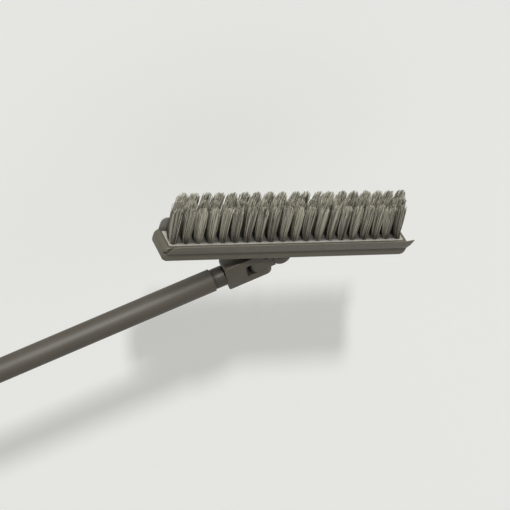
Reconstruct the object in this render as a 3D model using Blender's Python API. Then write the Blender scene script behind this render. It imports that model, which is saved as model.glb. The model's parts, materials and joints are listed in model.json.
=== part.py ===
"""Household floor broom, lying on its side, in metres.

The head stands on its flat far wall and the handle runs along +X. The tilt pin is upright, and the
swivel pin lies along Y. Head pieces are modelled in the head's own frame: x along the head, y from
the lip side to the blade side, z towards the bristle tips, with its origin on the bristle face.
"""

import math
import random

import bmesh
import bpy
from mathutils import Vector
from mathutils.geometry import delaunay_2d_cdt

# Fits
SEAT_GAP = 0.0003
PIN_GAP = 0.0002
CUT_OVERRUN = 0.002

# Head shell
HEAD_LENGTH = 0.256
HEAD_WIDTH = 0.0291
HEAD_HEIGHT = 0.0163
SIDE_WALL = 0.00305
END_WALL = 0.0022
BACK_WALL = 0.0024
HEAD_CORNER = 0.0025
BACK_EDGE = 0.0020
END_BULGE = 0.0030
END_BULGE_DROP = 0.0040
END_ROUND = 0.0062
RIM_EDGE = 0.0004
RIB_THICKNESS = 0.0018
RIBS_A_SIDE = 3
CORE_LENGTH = 0.064

# Joint well in the back of the shell
WELL_LENGTH = 0.056
WELL_WIDTH = 0.0222
WELL_DEPTH = 0.0038
WELL_CORNER = 0.0035
WELL_SLOPE = 0.0020

# Carrier plate and bristle rows
PLATE_THICKNESS = 0.0023
STRIP_THICKNESS = 0.0027
ROW_PITCH = 0.0079
ROW_END_MARGIN = 0.0056
BRISTLE_LENGTH = 0.0452
TUFT_COUNTS = {"front": 20, "middle": 20, "rear": 19}
TIP_DRIFTS = {"front": 0.0100, "middle": 0.0056, "rear": 0.0018}
TIP_SPLAYS = {"front": -0.0042, "middle": -0.0006, "rear": 0.0022}
STRANDS_A_TUFT = 8
STRAND_RADIUS = 0.00062
TIP_RADIUS = 0.00048
TUFT_BASE_RADIUS = 0.0021
TUFT_TIP_RADIUS_LONG = 0.0051
TUFT_TIP_RADIUS_ACROSS = 0.0029
TIP_HEIGHT_JITTER = 0.0009
TIP_PLACE_JITTER = 0.00022

# Scraper lip
LIP_ROOT_DROP = 0.0059
LIP_ROOT_THICKNESS = 0.0015
LIP_TIP_THICKNESS = 0.0008
LIP_ROOT_DEPTH = 0.0019
LIP_REACH = 0.0072
LIP_RISE = 0.0137
LIP_BELLY = 0.0007
LIP_OVERHANG = 0.0006
LIP_CURL_LENGTH = 0.014
LIP_CURL_RISE = 0.0016
LIP_ROUND_LENGTH = 0.0070
LIP_ROUND_STEPS = 4

# Squeegee blade
BLADE_THICKNESS = 0.0013
BLADE_HEIGHT = 0.0125
BLADE_FOOT = 0.0044
BLADE_INSET = 0.0012
BLADE_CORNER = 0.0055
REBATE_DEPTH = 0.00165

# Tilt joint
PIVOT_DROP = 0.0202
CHEEK_RADIUS = 0.0093
CHEEK_THICKNESS = 0.0036
CHEEK_EDGE = 0.0007
EYE_WIDTH = 0.0080
EYE_RADIUS = 0.0050
TILT_PIN_RADIUS = 0.0022
TILT_HEAD_RADIUS = 0.0036
TILT_HEAD_HEIGHT = 0.0011
FLANGE_LENGTH = 0.028
FLANGE_WIDTH = 0.0178
FLANGE_THICKNESS = 0.0017
FLANGE_CORNER = 0.0030
SCREW_MARGIN = 0.0029
SCREW_RADIUS = 0.0012
SCREW_HEAD_RADIUS = 0.0022
SCREW_HEAD_HEIGHT = 0.0012
SCREW_LENGTH = 0.0070
SCREW_SLOT_WIDTH = 0.0006
SCREW_SLOT_DEPTH = 0.0006

# Swivel joint
SWIVEL_REACH = 0.0185
TONGUE_END = 0.0147
TONGUE_HEIGHT = 0.0124
JOINT_WIDTH = 0.0160
FORK_HEIGHT = 0.0288
FORK_BACK = 0.0384
FORK_CORNER = 0.0055
FORK_EDGE = 0.0009
SLOT_CLEARANCE = 0.0003
SLOT_FLOOR = 0.0181
SWIVEL_PIN_RADIUS = 0.0023
SWIVEL_HEAD_RADIUS = 0.0038
SWIVEL_HEAD_HEIGHT = 0.0014

# Clips
CLIP_THICKNESS = 0.0008
CLIP_RING = 0.0014

# Neck and handle
NECK_RADIUS = 0.0098
NECK_LENGTH = 0.0122
STUD_RADIUS = 0.0062
STUD_LENGTH = 0.0150
TUBE_RADIUS = 0.0110
TUBE_WALL = 0.0006
TUBE_LENGTH = 0.340
PLUG_LENGTH = 0.028
COLLAR_RADIUS = 0.0116
COLLAR_LENGTH = 0.0035
SCREW_STUD_RADIUS = 0.0066
SCREW_STUD_LENGTH = 0.022
EDGE_BREAK = 0.0004

# Grip and end cap
GRIP_LENGTH = 0.125
GRIP_RIBS = 9
GRIP_GROOVE_DEPTH = 0.0009
GRIP_MOUTH_RADIUS = 0.0125
CAP_LENGTH = 0.040
CAP_FLAT_RADIUS = 0.0060
CAP_EYE_THICKNESS = 0.0150
CAP_EYE_LENGTH = 0.027
HANG_HOLE_RADIUS = 0.0045
HANG_HOLE_MARGIN = 0.0125

# Pose of the photo: the angle between the handle and the head
HANDLE_ANGLE = math.radians(29.0)

# Facets
ROUND_SIDES = 32
PIN_SIDES = 24
ARC_STEPS = 8
EDGE_STEPS = 2

# Sizes that follow from those above
half_length = HEAD_LENGTH / 2
half_width = HEAD_WIDTH / 2
recess_half_width = half_width - SIDE_WALL
recess_half_length = half_length - END_WALL
plate_half_width = recess_half_width - SEAT_GAP
plate_half_length = recess_half_length - SEAT_GAP
recess_corner = HEAD_CORNER - RIM_EDGE
plate_corner = recess_corner - SEAT_GAP
row_length = 2 * (plate_half_length - ROW_END_MARGIN)
end_reach = half_length + END_BULGE + CUT_OVERRUN
recess_depth = STRIP_THICKNESS + PLATE_THICKNESS + 2 * SEAT_GAP
well_floor = WELL_DEPTH - HEAD_HEIGHT
screw_reach = FLANGE_LENGTH / 2 - SCREW_MARGIN
flange_seat = well_floor - SEAT_GAP
flange_top = flange_seat - FLANGE_THICKNESS
cheek_inner = EYE_WIDTH / 2 + SEAT_GAP
cheek_outer = cheek_inner + CHEEK_THICKNESS
slot_half = TONGUE_HEIGHT / 2 + SLOT_CLEARANCE
fork_half = FORK_HEIGHT / 2
joint_half = JOINT_WIDTH / 2
tube_bore = TUBE_RADIUS - TUBE_WALL
plug_radius = tube_bore - SEAT_GAP
tube_start = FORK_BACK + SEAT_GAP + NECK_LENGTH
grip_radius = half_width
grip_bore = TUBE_RADIUS + SEAT_GAP


def make_material(name, color, roughness, metallic=0.0):
    material = bpy.data.materials.new(name)
    material.use_nodes = True
    shader = material.node_tree.nodes["Principled BSDF"]
    shader.inputs["Base Color"].default_value = (*color, 1.0)
    shader.inputs["Roughness"].default_value = roughness
    shader.inputs["Metallic"].default_value = metallic
    return material


def make_materials():
    return {
        "shell": make_material("shell_plastic", (0.100, 0.088, 0.074), 0.50),
        "plate": make_material("plate_plastic", (0.120, 0.108, 0.092), 0.55),
        "bristle": make_material("bristle_filament", (0.200, 0.190, 0.155), 0.62),
        "lip": make_material("lip_rubber", (0.105, 0.094, 0.080), 0.58),
        "blade": make_material("blade_rubber", (0.070, 0.064, 0.056), 0.60),
        "joint": make_material("joint_plastic", (0.085, 0.076, 0.066), 0.48),
        "steel": make_material("plain_steel", (0.55, 0.54, 0.52), 0.32, 1.0),
        "pin": make_material("coated_pin", (0.075, 0.067, 0.057), 0.42),
        "tube": make_material("tube_paint", (0.062, 0.053, 0.045), 0.36),
        "insert": make_material("insert_plastic", (0.050, 0.044, 0.039), 0.50),
        "grip": make_material("grip_rubber", (0.060, 0.053, 0.047), 0.66),
    }


def add_empty(name, location, parent=None):
    empty = bpy.data.objects.new(name, None)
    empty.empty_display_size = HEAD_HEIGHT
    empty.location = location
    empty.parent = parent
    bpy.context.collection.objects.link(empty)
    return empty


def add_piece(name, bm, parent, material, location=(0, 0, 0)):
    """Turns a bmesh into a named object, shaded smooth with sharp corners kept."""
    bmesh.ops.recalc_face_normals(bm, faces=bm.faces)
    mesh = bpy.data.meshes.new(name)
    bm.to_mesh(mesh)
    bm.free()
    mesh.shade_smooth()
    mesh.set_sharp_from_angle(angle=math.radians(35.0))
    piece = bpy.data.objects.new(name, mesh)
    piece.location = location
    piece.parent = parent
    bpy.context.collection.objects.link(piece)
    if material:
        mesh.materials.append(material)
    return piece


def add_helper(name, bm, target, operation="DIFFERENCE"):
    """Adds a hidden shape that cuts, trims or joins the target."""
    helper = add_piece(name, bm, target.parent, None, target.location)
    helper.hide_render = True
    helper.display_type = "WIRE"
    modifier = target.modifiers.new(name, "BOOLEAN")
    modifier.operation = operation
    modifier.solver = "EXACT"
    modifier.object = helper
    return helper


def arc(center, radius, start, end, steps):
    """Points of a circular arc in a plane, angles in degrees, both ends included."""
    points = []
    for step in range(steps + 1):
        angle = math.radians(start + (end - start) * step / steps)
        points.append((center[0] + radius * math.cos(angle), center[1] + radius * math.sin(angle)))
    return points


def circle(radius, sides, center=(0, 0)):
    return arc(center, radius, 0.0, 360.0, sides)[:-1]


def rounded_rectangle(half_x, half_y, radius, steps=ARC_STEPS // 2):
    inner_x = half_x - radius
    inner_y = half_y - radius
    points = arc((inner_x, inner_y), radius, 0, 90, steps)
    points += arc((-inner_x, inner_y), radius, 90, 180, steps)
    points += arc((-inner_x, -inner_y), radius, 180, 270, steps)
    points += arc((inner_x, -inner_y), radius, 270, 360, steps)
    return points


def place(u, v, w, normal):
    """A point with u and v in the outline's plane and w along its normal axis."""
    return {"X": (w, u, v), "Y": (u, w, v), "Z": (u, v, w)}[normal]


def loft(sections, normal):
    """Closed solid through outlines of equal point count, each given as (outline, height)."""
    bm = bmesh.new()
    rings = []
    for outline, height in sections:
        rings.append([bm.verts.new(place(u, v, height, normal)) for u, v in outline])
    count = len(rings[0])
    for lower, upper in zip(rings, rings[1:]):
        for index in range(count):
            after = (index + 1) % count
            bm.faces.new((lower[index], lower[after], upper[after], upper[index]))
    bm.faces.new(rings[0])
    bm.faces.new(rings[-1])
    return bm


def prism(outline, low, high, normal):
    return loft([(outline, low), (outline, high)], normal)


def turned(profile, sides=ROUND_SIDES, normal="X"):
    """Solid of revolution about an axis: profile points are (radius, place along the axis)."""
    return loft([(circle(radius, sides), height) for radius, height in profile], normal)


def ring_body(outer, inner, sides=ROUND_SIDES, normal="X"):
    """Open-ended tube: outer and inner profiles run the same way and join at both ends."""
    bm = bmesh.new()
    rings = []
    for radius, height in outer + inner[::-1]:
        ring = [bm.verts.new(place(u, v, height, normal)) for u, v in circle(radius, sides)]
        rings.append(ring)
    for lower, upper in zip(rings, rings[1:] + rings[:1]):
        for index in range(sides):
            after = (index + 1) % sides
            bm.faces.new((lower[index], lower[after], upper[after], upper[index]))
    return bm


def soften_rims(bm, amount, normal):
    """Rounds the edges round both flat ends of a prism."""
    axis = "XYZ".index(normal)
    heights = [vert.co[axis] for vert in bm.verts]
    ends = (min(heights), max(heights))
    rims = []
    for edge in bm.edges:
        places = [vert.co[axis] for vert in edge.verts]
        if places[0] == places[1] and places[0] in ends:
            rims.append(edge)
    bmesh.ops.bevel(bm, geom=rims, offset=amount, segments=EDGE_STEPS, profile=0.5, affect="EDGES")
    return bm


def tapered_sections(half_x, half_y, corner, stations):
    """Rounded rectangles drawn in by a given amount at each height."""
    sections = []
    for inset, height in stations:
        outline = rounded_rectangle(half_x - inset, half_y - inset, corner - inset)
        sections.append((outline, height))
    return sections


def rounding(radius, past):
    """How far a quarter-round edge has drawn in at a distance past its start."""
    return radius - math.sqrt(radius**2 - min(radius, max(0.0, past)) ** 2)


def end_growth(height):
    """How far each end stands past the rim at one height: a bulge below the rim, rounded off at the back."""
    if height > -END_BULGE_DROP:
        return END_BULGE * math.sin(math.pi / 2 * -height / END_BULGE_DROP)
    return END_BULGE - rounding(END_ROUND, END_ROUND - HEAD_HEIGHT - height)


def side_inset(height):
    """How far the long walls stand in at one height, for the softened rim and the rounded back edge."""
    return max(RIM_EDGE + height, rounding(BACK_EDGE, BACK_EDGE - HEAD_HEIGHT - height))


def shell_heights():
    """Heights of the shell's sections, close together where its ends and edges curve."""
    quarter = ARC_STEPS // 2
    shares = [step / quarter for step in range(quarter + 1)]
    heights = {-END_BULGE_DROP * share for share in shares} | {-RIM_EDGE}
    heights |= {END_ROUND * (1 - math.sin(math.pi / 2 * share)) - HEAD_HEIGHT for share in shares}
    heights |= {BACK_EDGE * (1 - math.sin(math.pi / 2 * share)) - HEAD_HEIGHT for share in shares[::2]}
    return sorted(heights, reverse=True)


def shell_section(height):
    inset = side_inset(height)
    half_x = half_length + end_growth(height) - min(inset, RIM_EDGE)
    return rounded_rectangle(half_x, half_width - inset, HEAD_CORNER - inset)


def build_head_shell(frame, materials):
    """Moulded body: flat walls, bulging ends, rounded back, ribbed hollow and a well for the joint."""
    bm = loft([(shell_section(height), height) for height in shell_heights()], "Z")
    shell = add_piece("head_shell", bm, frame, materials["shell"])
    cut_recess(shell)
    cut_hollows(shell)
    cut_well(shell)
    cut_blade_rebate(shell)
    cut_lip_groove(shell)
    for side in (-1, 1):
        cut_screw_hole(shell, side)
    return shell


def cut_recess(shell):
    """Front recess that takes the carrier plate and the strips."""
    outline = rounded_rectangle(recess_half_length, recess_half_width, recess_corner)
    add_helper("recess_cutter", prism(outline, -recess_depth, CUT_OVERRUN, "Z"), shell)


def cut_hollows(shell):
    """Weight-saving hollows behind the plate, parted by cross ribs."""
    first = CORE_LENGTH / 2
    bay = (recess_half_length - END_WALL - first - RIBS_A_SIDE * RIB_THICKNESS) / (RIBS_A_SIDE + 1)
    floor = BACK_WALL - HEAD_HEIGHT
    half_bay_width = recess_half_width - SEAT_GAP - RIB_THICKNESS / 2
    for side in (-1, 1):
        for index in range(RIBS_A_SIDE + 1):
            center = side * (first + bay / 2 + index * (bay + RIB_THICKNESS))
            outline = rounded_rectangle(bay / 2, half_bay_width, RIB_THICKNESS)
            shifted = [(x + center, y) for x, y in outline]
            name = f"hollow_cutter_{index}_{'left' if side < 0 else 'right'}"
            add_helper(name, prism(shifted, floor, CUT_OVERRUN - recess_depth, "Z"), shell)


def cut_well(shell):
    """Sunk well in the back, with sloping sides, that clears the fork at both ends of its swing."""
    stations = [
        (0.0, -HEAD_HEIGHT - CUT_OVERRUN),
        (0.0, -HEAD_HEIGHT),
        (WELL_SLOPE, well_floor),
    ]
    sections = tapered_sections(WELL_LENGTH / 2, WELL_WIDTH / 2, WELL_CORNER, stations)
    add_helper("well_cutter", loft(sections, "Z"), shell)


def cut_blade_rebate(shell):
    """Step along the far wall for the blade's foot."""
    low = half_width - REBATE_DEPTH
    high = half_width + CUT_OVERRUN
    depth = BLADE_FOOT + SEAT_GAP
    outline = [(-end_reach, low), (end_reach, low), (end_reach, high), (-end_reach, high)]
    add_helper("rebate_cutter", prism(outline, -depth, CUT_OVERRUN, "Z"), shell)


def cut_lip_groove(shell):
    """Groove along the near wall for the lip's root."""
    half_height = LIP_ROOT_THICKNESS / 2 + SEAT_GAP
    depth = LIP_ROOT_DEPTH + SEAT_GAP
    low = -LIP_ROOT_DROP - half_height
    high = -LIP_ROOT_DROP + half_height
    near = -half_width
    outline = [(near - CUT_OVERRUN, low), (near + depth, low)]
    outline += [(near + depth, high), (near - CUT_OVERRUN, high)]
    add_helper("groove_cutter", prism(outline, -end_reach, end_reach, "X"), shell)


def cut_screw_hole(shell, side):
    """Blind pilot hole under one end of the pivot base."""
    center = (side * screw_reach, 0)
    depth = SCREW_LENGTH + SEAT_GAP - FLANGE_THICKNESS
    outline = circle(SCREW_RADIUS + PIN_GAP, PIN_SIDES // 2, center)
    name = f"screw_hole_cutter_{'left' if side < 0 else 'right'}"
    bm = prism(outline, well_floor - CUT_OVERRUN, well_floor + depth, "Z")
    add_helper(name, bm, shell)


def build_plate(frame, materials):
    """Stiff carrier plate behind the strips, seated on the recess floor."""
    outline = rounded_rectangle(plate_half_length, plate_half_width, plate_corner)
    seat = SEAT_GAP - recess_depth
    return add_piece(
        "bristle_plate", prism(outline, seat, seat + PLATE_THICKNESS, "Z"), frame, materials["plate"]
    )


def tuft_places(count):
    pitch = row_length / (TUFT_COUNTS["front"] - 1)
    if count < TUFT_COUNTS["front"]:
        pitch = (row_length - pitch / 2) / (count - 1)
    return [pitch * (index - (count - 1) / 2) for index in range(count)]


def strand_offsets():
    """Unit places of a tuft's strands: one in the middle and the rest on a ring."""
    around = STRANDS_A_TUFT - 1
    places = [(0.0, 0.0)]
    for index in range(around):
        angle = math.tau * (index + 0.25) / around
        places.append((math.cos(angle), math.sin(angle)))
    return places


def footprint(x, y, radius, turn):
    return [
        (x + radius * math.cos(turn + math.tau * corner / 3), y + radius * math.sin(turn + math.tau * corner / 3))
        for corner in range(3)
    ]


def plan_strands(row, row_y, dice):
    """Base and tip triangles of every strand of a row."""
    strands = []
    for tuft_x in tuft_places(TUFT_COUNTS[row]):
        for unit_x, unit_y in strand_offsets():
            turn = math.tau * dice.random()
            base_x = tuft_x + unit_x * TUFT_BASE_RADIUS
            base_y = row_y + unit_y * TUFT_BASE_RADIUS
            tip_x = tuft_x - TIP_DRIFTS[row] + unit_x * TUFT_TIP_RADIUS_LONG
            tip_y = row_y + TIP_SPLAYS[row] + unit_y * TUFT_TIP_RADIUS_ACROSS
            tip_x += TIP_PLACE_JITTER * dice.uniform(-1, 1)
            tip_y += TIP_PLACE_JITTER * dice.uniform(-1, 1)
            height = BRISTLE_LENGTH - TIP_HEIGHT_JITTER * dice.random()
            base = footprint(base_x, base_y, STRAND_RADIUS, turn)
            tip = footprint(tip_x, tip_y, TIP_RADIUS, turn)
            strands.append((base, [(x, y, height) for x, y in tip]))
    return strands


def border_line(y, count):
    """One long edge of a strip, with a point between each two tufts so that its top divides evenly."""
    corner = plate_corner if abs(y) == plate_half_width else 0.0
    tufts = tuft_places(count)
    marks = [(here + after) / 2 for here, after in zip(tufts, tufts[1:])]
    line = [(mark, y) for mark in [corner - plate_half_length, *marks, plate_half_length - corner]]
    if corner:
        inward = y - math.copysign(corner, y)
        line = [(-plate_half_length, inward), *line, (plate_half_length, inward)]
    return line


def border_points(low, high, count):
    return border_line(low, count) + border_line(high, count)[::-1]


def build_bristle_row(row, row_y, low, high, frame, materials):
    """Strip whose top face is cut at each strand's foot and drawn up to its tip."""
    dice = random.Random(row)
    strands = plan_strands(row, row_y, dice)
    outline = border_points(low, high, TUFT_COUNTS[row])
    points = [Vector(point) for point in outline]
    regions = [list(range(len(outline)))]
    for base, _ in strands:
        regions.append(list(range(len(points), len(points) + len(base))))
        points += [Vector(point) for point in base]
    found, _, faces, origins, _, face_origins = delaunay_2d_cdt(points, [], regions, 1, STRAND_RADIUS / 1000)
    bm = bmesh.new()
    top = [bm.verts.new((point.x, point.y, 0.0)) for point in found]
    for face, owners in zip(faces, face_origins):
        if max(owners) == 0:
            bm.faces.new([top[index] for index in face])
    at = {origin: index for index, group in enumerate(origins) for origin in group}
    for region, (_, tip) in zip(regions[1:], strands):
        feet = [top[at[index]] for index in region]
        ends = [bm.verts.new(point) for point in tip]
        for index in range(len(feet)):
            after = (index + 1) % len(feet)
            bm.faces.new((feet[index], feet[after], ends[after], ends[index]))
        bm.faces.new(ends)
    rim = [top[at[index]] for index in regions[0]]
    under = [bm.verts.new((vert.co.x, vert.co.y, -STRIP_THICKNESS)) for vert in rim]
    for index in range(len(rim)):
        after = (index + 1) % len(rim)
        bm.faces.new((rim[index], rim[after], under[after], under[index]))
    bm.faces.new(under)
    return add_piece(f"{row}_bristle_row", bm, frame, materials["bristle"])


def build_bristle_rows(frame, materials):
    inner = ROW_PITCH / 2 - SEAT_GAP / 2
    outer = inner + SEAT_GAP
    build_bristle_row("front", -ROW_PITCH, -plate_half_width, -outer, frame, materials)
    build_bristle_row("middle", 0.0, -inner, inner, frame, materials)
    build_bristle_row("rear", ROW_PITCH, outer, plate_half_width, frame, materials)


def lip_section(rise, share=1.0):
    """Cross-section of the lip: a root in the groove and a share of its tapering, slightly bellied flap."""
    near = -half_width
    root = LIP_ROOT_THICKNESS / 2
    along = Vector((-LIP_REACH, LIP_RISE)).normalized()
    across = Vector((-along.y, along.x))
    start = Vector((near - root, -LIP_ROOT_DROP))
    end = start + Vector((-LIP_REACH, LIP_RISE + rise)) * share
    middle = (start + end) / 2 + across * (LIP_BELLY * share)
    tip = across * (LIP_TIP_THICKNESS / 2)
    waist = across * ((LIP_ROOT_THICKNESS + LIP_TIP_THICKNESS) / 4)
    inside = near + LIP_ROOT_DEPTH
    outline = [(inside, -LIP_ROOT_DROP - root), (near - root, -LIP_ROOT_DROP - root)]
    outline += [tuple(start + across * root), tuple(middle + waist), tuple(end + tip)]
    outline += [tuple(end - tip), tuple(middle - waist), (near - SEAT_GAP, -LIP_ROOT_DROP + root)]
    outline += [(inside, -LIP_ROOT_DROP + root)]
    return outline


def build_lip(frame, materials):
    """Flexible lip along the near wall: its left end rounds off and its right end curls to a point."""
    reach = half_length + LIP_OVERHANG
    curl_start = reach - LIP_CURL_LENGTH
    curl_middle_share = 0.25
    sections = []
    for step in range(1, LIP_ROUND_STEPS + 1):
        share = math.sin(math.pi / 2 * step / LIP_ROUND_STEPS)
        place = LIP_ROUND_LENGTH * (1 - math.sqrt(1 - share**2)) - half_length
        sections.append((lip_section(0.0, share), place))
    sections += [
        (lip_section(0.0), curl_start),
        (lip_section(LIP_CURL_RISE * curl_middle_share), curl_start + LIP_CURL_LENGTH / 2),
        (lip_section(LIP_CURL_RISE), reach),
    ]
    return add_piece("front_scraper_lip", loft(sections, "X"), frame, materials["lip"])


def build_blade(frame, materials):
    """Upright blade on the far wall, its foot in the rebate and its top corners rounded."""
    reach = half_length - BLADE_INSET
    outline = [(-reach, -BLADE_FOOT), (reach, -BLADE_FOOT)]
    outline += arc((reach - BLADE_CORNER, BLADE_HEIGHT - BLADE_CORNER), BLADE_CORNER, 0, 90, ARC_STEPS)
    outline += arc((BLADE_CORNER - reach, BLADE_HEIGHT - BLADE_CORNER), BLADE_CORNER, 90, 180, ARC_STEPS)
    low = half_width - REBATE_DEPTH + SEAT_GAP
    bm = prism(outline, low, low + BLADE_THICKNESS, "Y")
    return add_piece("rear_squeegee_blade", bm, frame, materials["blade"])


def build_pivot_base(frame, materials):
    """Flange in the well with two round cheeks that carry the tilt pin."""
    outline = rounded_rectangle(FLANGE_LENGTH / 2, FLANGE_WIDTH / 2, FLANGE_CORNER)
    base = add_piece("pivot_base", prism(outline, flange_top, flange_seat, "Z"), frame, materials["joint"])
    drop_to_flange = PIVOT_DROP + flange_top
    half_chord = math.sqrt(CHEEK_RADIUS**2 - drop_to_flange**2)
    start = math.degrees(math.atan2(drop_to_flange, half_chord))
    cheek = arc((0, -PIVOT_DROP), CHEEK_RADIUS, start, start - 180 - 2 * start, 3 * ARC_STEPS)
    cheek += [(-half_chord, flange_top + FLANGE_THICKNESS / 2), (half_chord, flange_top + FLANGE_THICKNESS / 2)]
    for side, name in ((-1, "near_cheek"), (1, "far_cheek")):
        low, high = sorted((side * cheek_inner, side * cheek_outer))
        bm = soften_rims(prism(cheek, low, high, "Y"), CHEEK_EDGE, "Y")
        add_helper(name, bm, base, "UNION")
    hole = circle(TILT_PIN_RADIUS + PIN_GAP, PIN_SIDES, (0, -PIVOT_DROP))
    reach = cheek_outer + CUT_OVERRUN
    add_helper("tilt_hole_cutter", prism(hole, -reach, reach, "Y"), base)
    for side in (-1, 1):
        add_helper(
            f"flange_hole_cutter_{'left' if side < 0 else 'right'}", countersink(side), base
        )
    return base


def screw_profile(gap):
    """Countersunk head of a base screw, from the flange's top inwards, drawn larger by a gap."""
    return [
        (SCREW_HEAD_RADIUS + gap, flange_top),
        (SCREW_RADIUS + gap, flange_top + SCREW_HEAD_HEIGHT),
    ]


def countersink(side):
    head, neck = screw_profile(PIN_GAP)
    sections = [(head[0], head[1] - CUT_OVERRUN), head, neck, (neck[0], flange_seat + CUT_OVERRUN)]
    center = (side * screw_reach, 0)
    return loft([(circle(radius, PIN_SIDES // 2, center), height) for radius, height in sections], "Z")


def build_base_screw(side, name, frame, materials):
    head, neck = screw_profile(0.0)
    end = flange_top + SCREW_LENGTH
    profile = [head, neck, (SCREW_RADIUS, end - SCREW_RADIUS), (SCREW_RADIUS / 3, end)]
    location = (side * screw_reach, 0, 0)
    bm = turned(profile, PIN_SIDES // 2, "Z")
    screw = add_piece(name, bm, frame, materials["steel"], location)
    half_slot = SCREW_SLOT_WIDTH / 2
    outline = [(-SCREW_HEAD_RADIUS, -half_slot), (SCREW_HEAD_RADIUS, -half_slot)]
    outline += [(SCREW_HEAD_RADIUS, half_slot), (-SCREW_HEAD_RADIUS, half_slot)]
    slot = prism(outline, flange_top - CUT_OVERRUN, flange_top + SCREW_SLOT_DEPTH, "Z")
    add_helper(f"{name}_slot_cutter", slot, screw)
    return screw


def pin_profile(pin_radius, head_radius, head_height, start, length):
    """Domed head, shank and chamfered end of a pin that starts under its head."""
    return [
        (head_radius - head_height / 2, start - head_height),
        (head_radius, start - head_height / 2),
        (head_radius, start),
        (pin_radius, start),
        (pin_radius, start + length - EDGE_BREAK),
        (pin_radius - EDGE_BREAK, start + length),
    ]


def build_clip(name, pin_radius, low, normal, parent, materials, location):
    """Flat ring pushed onto the end of a pin."""
    inner_radius = pin_radius + PIN_GAP
    outer = [(inner_radius + CLIP_RING, low), (inner_radius + CLIP_RING, low + CLIP_THICKNESS)]
    inner = [(inner_radius, low), (inner_radius, low + CLIP_THICKNESS)]
    bm = ring_body(outer, inner, PIN_SIDES, normal)
    return add_piece(name, bm, parent, materials["steel"], location)


def build_tilt_pin(frame, materials):
    """Cross pin through both cheeks, head on the lip side and clip on the blade side."""
    start = -cheek_outer - SEAT_GAP
    clip_low = cheek_outer + SEAT_GAP
    length = clip_low + CLIP_THICKNESS + EDGE_BREAK + SEAT_GAP - start
    profile = pin_profile(TILT_PIN_RADIUS, TILT_HEAD_RADIUS, TILT_HEAD_HEIGHT, start, length)
    center = (0, 0, -PIVOT_DROP)
    add_piece("tilt_pin", turned(profile, PIN_SIDES, "Y"), frame, materials["pin"], center)
    build_clip("tilt_pin_clip", TILT_PIN_RADIUS, clip_low, "Y", frame, materials, center)


def build_knuckle(axis, materials):
    """Tongue with a rounded end, hollowed to clear the cheeks, joined to a narrow eye."""
    end = SWIVEL_REACH + TONGUE_END
    start = 0.0
    outline = [(start, -joint_half)]
    outline += arc((end - joint_half, 0), joint_half, -90, 90, 2 * ARC_STEPS)
    outline += [(start, joint_half)]
    half_height = TONGUE_HEIGHT / 2
    bm = prism(outline, -half_height, half_height, "Y")
    knuckle = add_piece("swivel_knuckle", bm, axis, materials["joint"])
    clearance = circle(CHEEK_RADIUS + SEAT_GAP + PIN_GAP, ROUND_SIDES)
    reach = joint_half + CUT_OVERRUN
    add_helper("cheek_clearance_cutter", prism(clearance, -reach, reach, "Z"), knuckle)
    eye = arc((0, 0), EYE_RADIUS, 90, 270, 2 * ARC_STEPS)
    eye += [(SWIVEL_REACH, -EYE_RADIUS), (SWIVEL_REACH, EYE_RADIUS)]
    add_helper("eye", prism(eye, -EYE_WIDTH / 2, EYE_WIDTH / 2, "Z"), knuckle, "UNION")
    tilt_hole = circle(TILT_PIN_RADIUS + PIN_GAP, PIN_SIDES)
    add_helper("eye_hole_cutter", prism(tilt_hole, -reach, reach, "Z"), knuckle)
    swivel_hole = circle(SWIVEL_PIN_RADIUS + PIN_GAP, PIN_SIDES, (SWIVEL_REACH, 0))
    add_helper("tongue_hole_cutter", prism(swivel_hole, -reach, reach, "Y"), knuckle)
    return knuckle


def fork_plan(y):
    """Fork's outline seen along the swivel pin at one height, with its edges and prong ends rounded."""
    front = rounding(FORK_CORNER, abs(y) - fork_half + FORK_CORNER) - joint_half
    inset = rounding(FORK_EDGE, abs(y) - fork_half + FORK_EDGE)
    side = joint_half - inset
    outline = [(max(x, front), z) for x, z in arc((0, 0), side, 90, 270, 2 * ARC_STEPS)]
    return outline + [(FORK_BACK - inset, -side), (FORK_BACK - inset, side)]


def fork_heights():
    """Heights of the fork's sections, close together where it rounds off."""
    quarter = ARC_STEPS // 2
    angles = [math.pi / 2 * step / quarter for step in range(quarter + 1)]
    upper = {fork_half - FORK_CORNER * (1 - math.sin(angle)) for angle in angles[:-1]}
    upper |= {fork_half - FORK_EDGE * (1 - math.sin(angle)) for angle in angles[::2]}
    return sorted({-height for height in upper} | upper)


def build_fork(axis, materials):
    """Block with two prongs whose ends are round about the swivel pin."""
    bm = loft([(fork_plan(height), height) for height in fork_heights()], "Y")
    fork = add_piece("yoke_fork", bm, axis, materials["joint"])
    reach = joint_half + CUT_OVERRUN
    slot = [(-reach, -slot_half), (SLOT_FLOOR, -slot_half), (SLOT_FLOOR, slot_half), (-reach, slot_half)]
    add_helper("slot_cutter", prism(slot, -reach, reach, "Z"), fork)
    hole = circle(SWIVEL_PIN_RADIUS + PIN_GAP, PIN_SIDES)
    far = fork_half + CUT_OVERRUN
    add_helper("prong_hole_cutter", prism(hole, -far, far, "Y"), fork)
    counterbore = circle(SWIVEL_HEAD_RADIUS + PIN_GAP, PIN_SIDES)
    seat = fork_half - SWIVEL_HEAD_HEIGHT - SEAT_GAP
    add_helper("upper_counterbore_cutter", prism(counterbore, -far, -seat, "Y"), fork)
    add_helper("lower_counterbore_cutter", prism(counterbore, seat, far, "Y"), fork)
    socket = circle(STUD_RADIUS + SEAT_GAP, ROUND_SIDES)
    depth = FORK_BACK - STUD_LENGTH - SEAT_GAP
    add_helper("socket_cutter", prism(socket, depth, FORK_BACK + CUT_OVERRUN, "X"), fork)
    return fork


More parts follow.
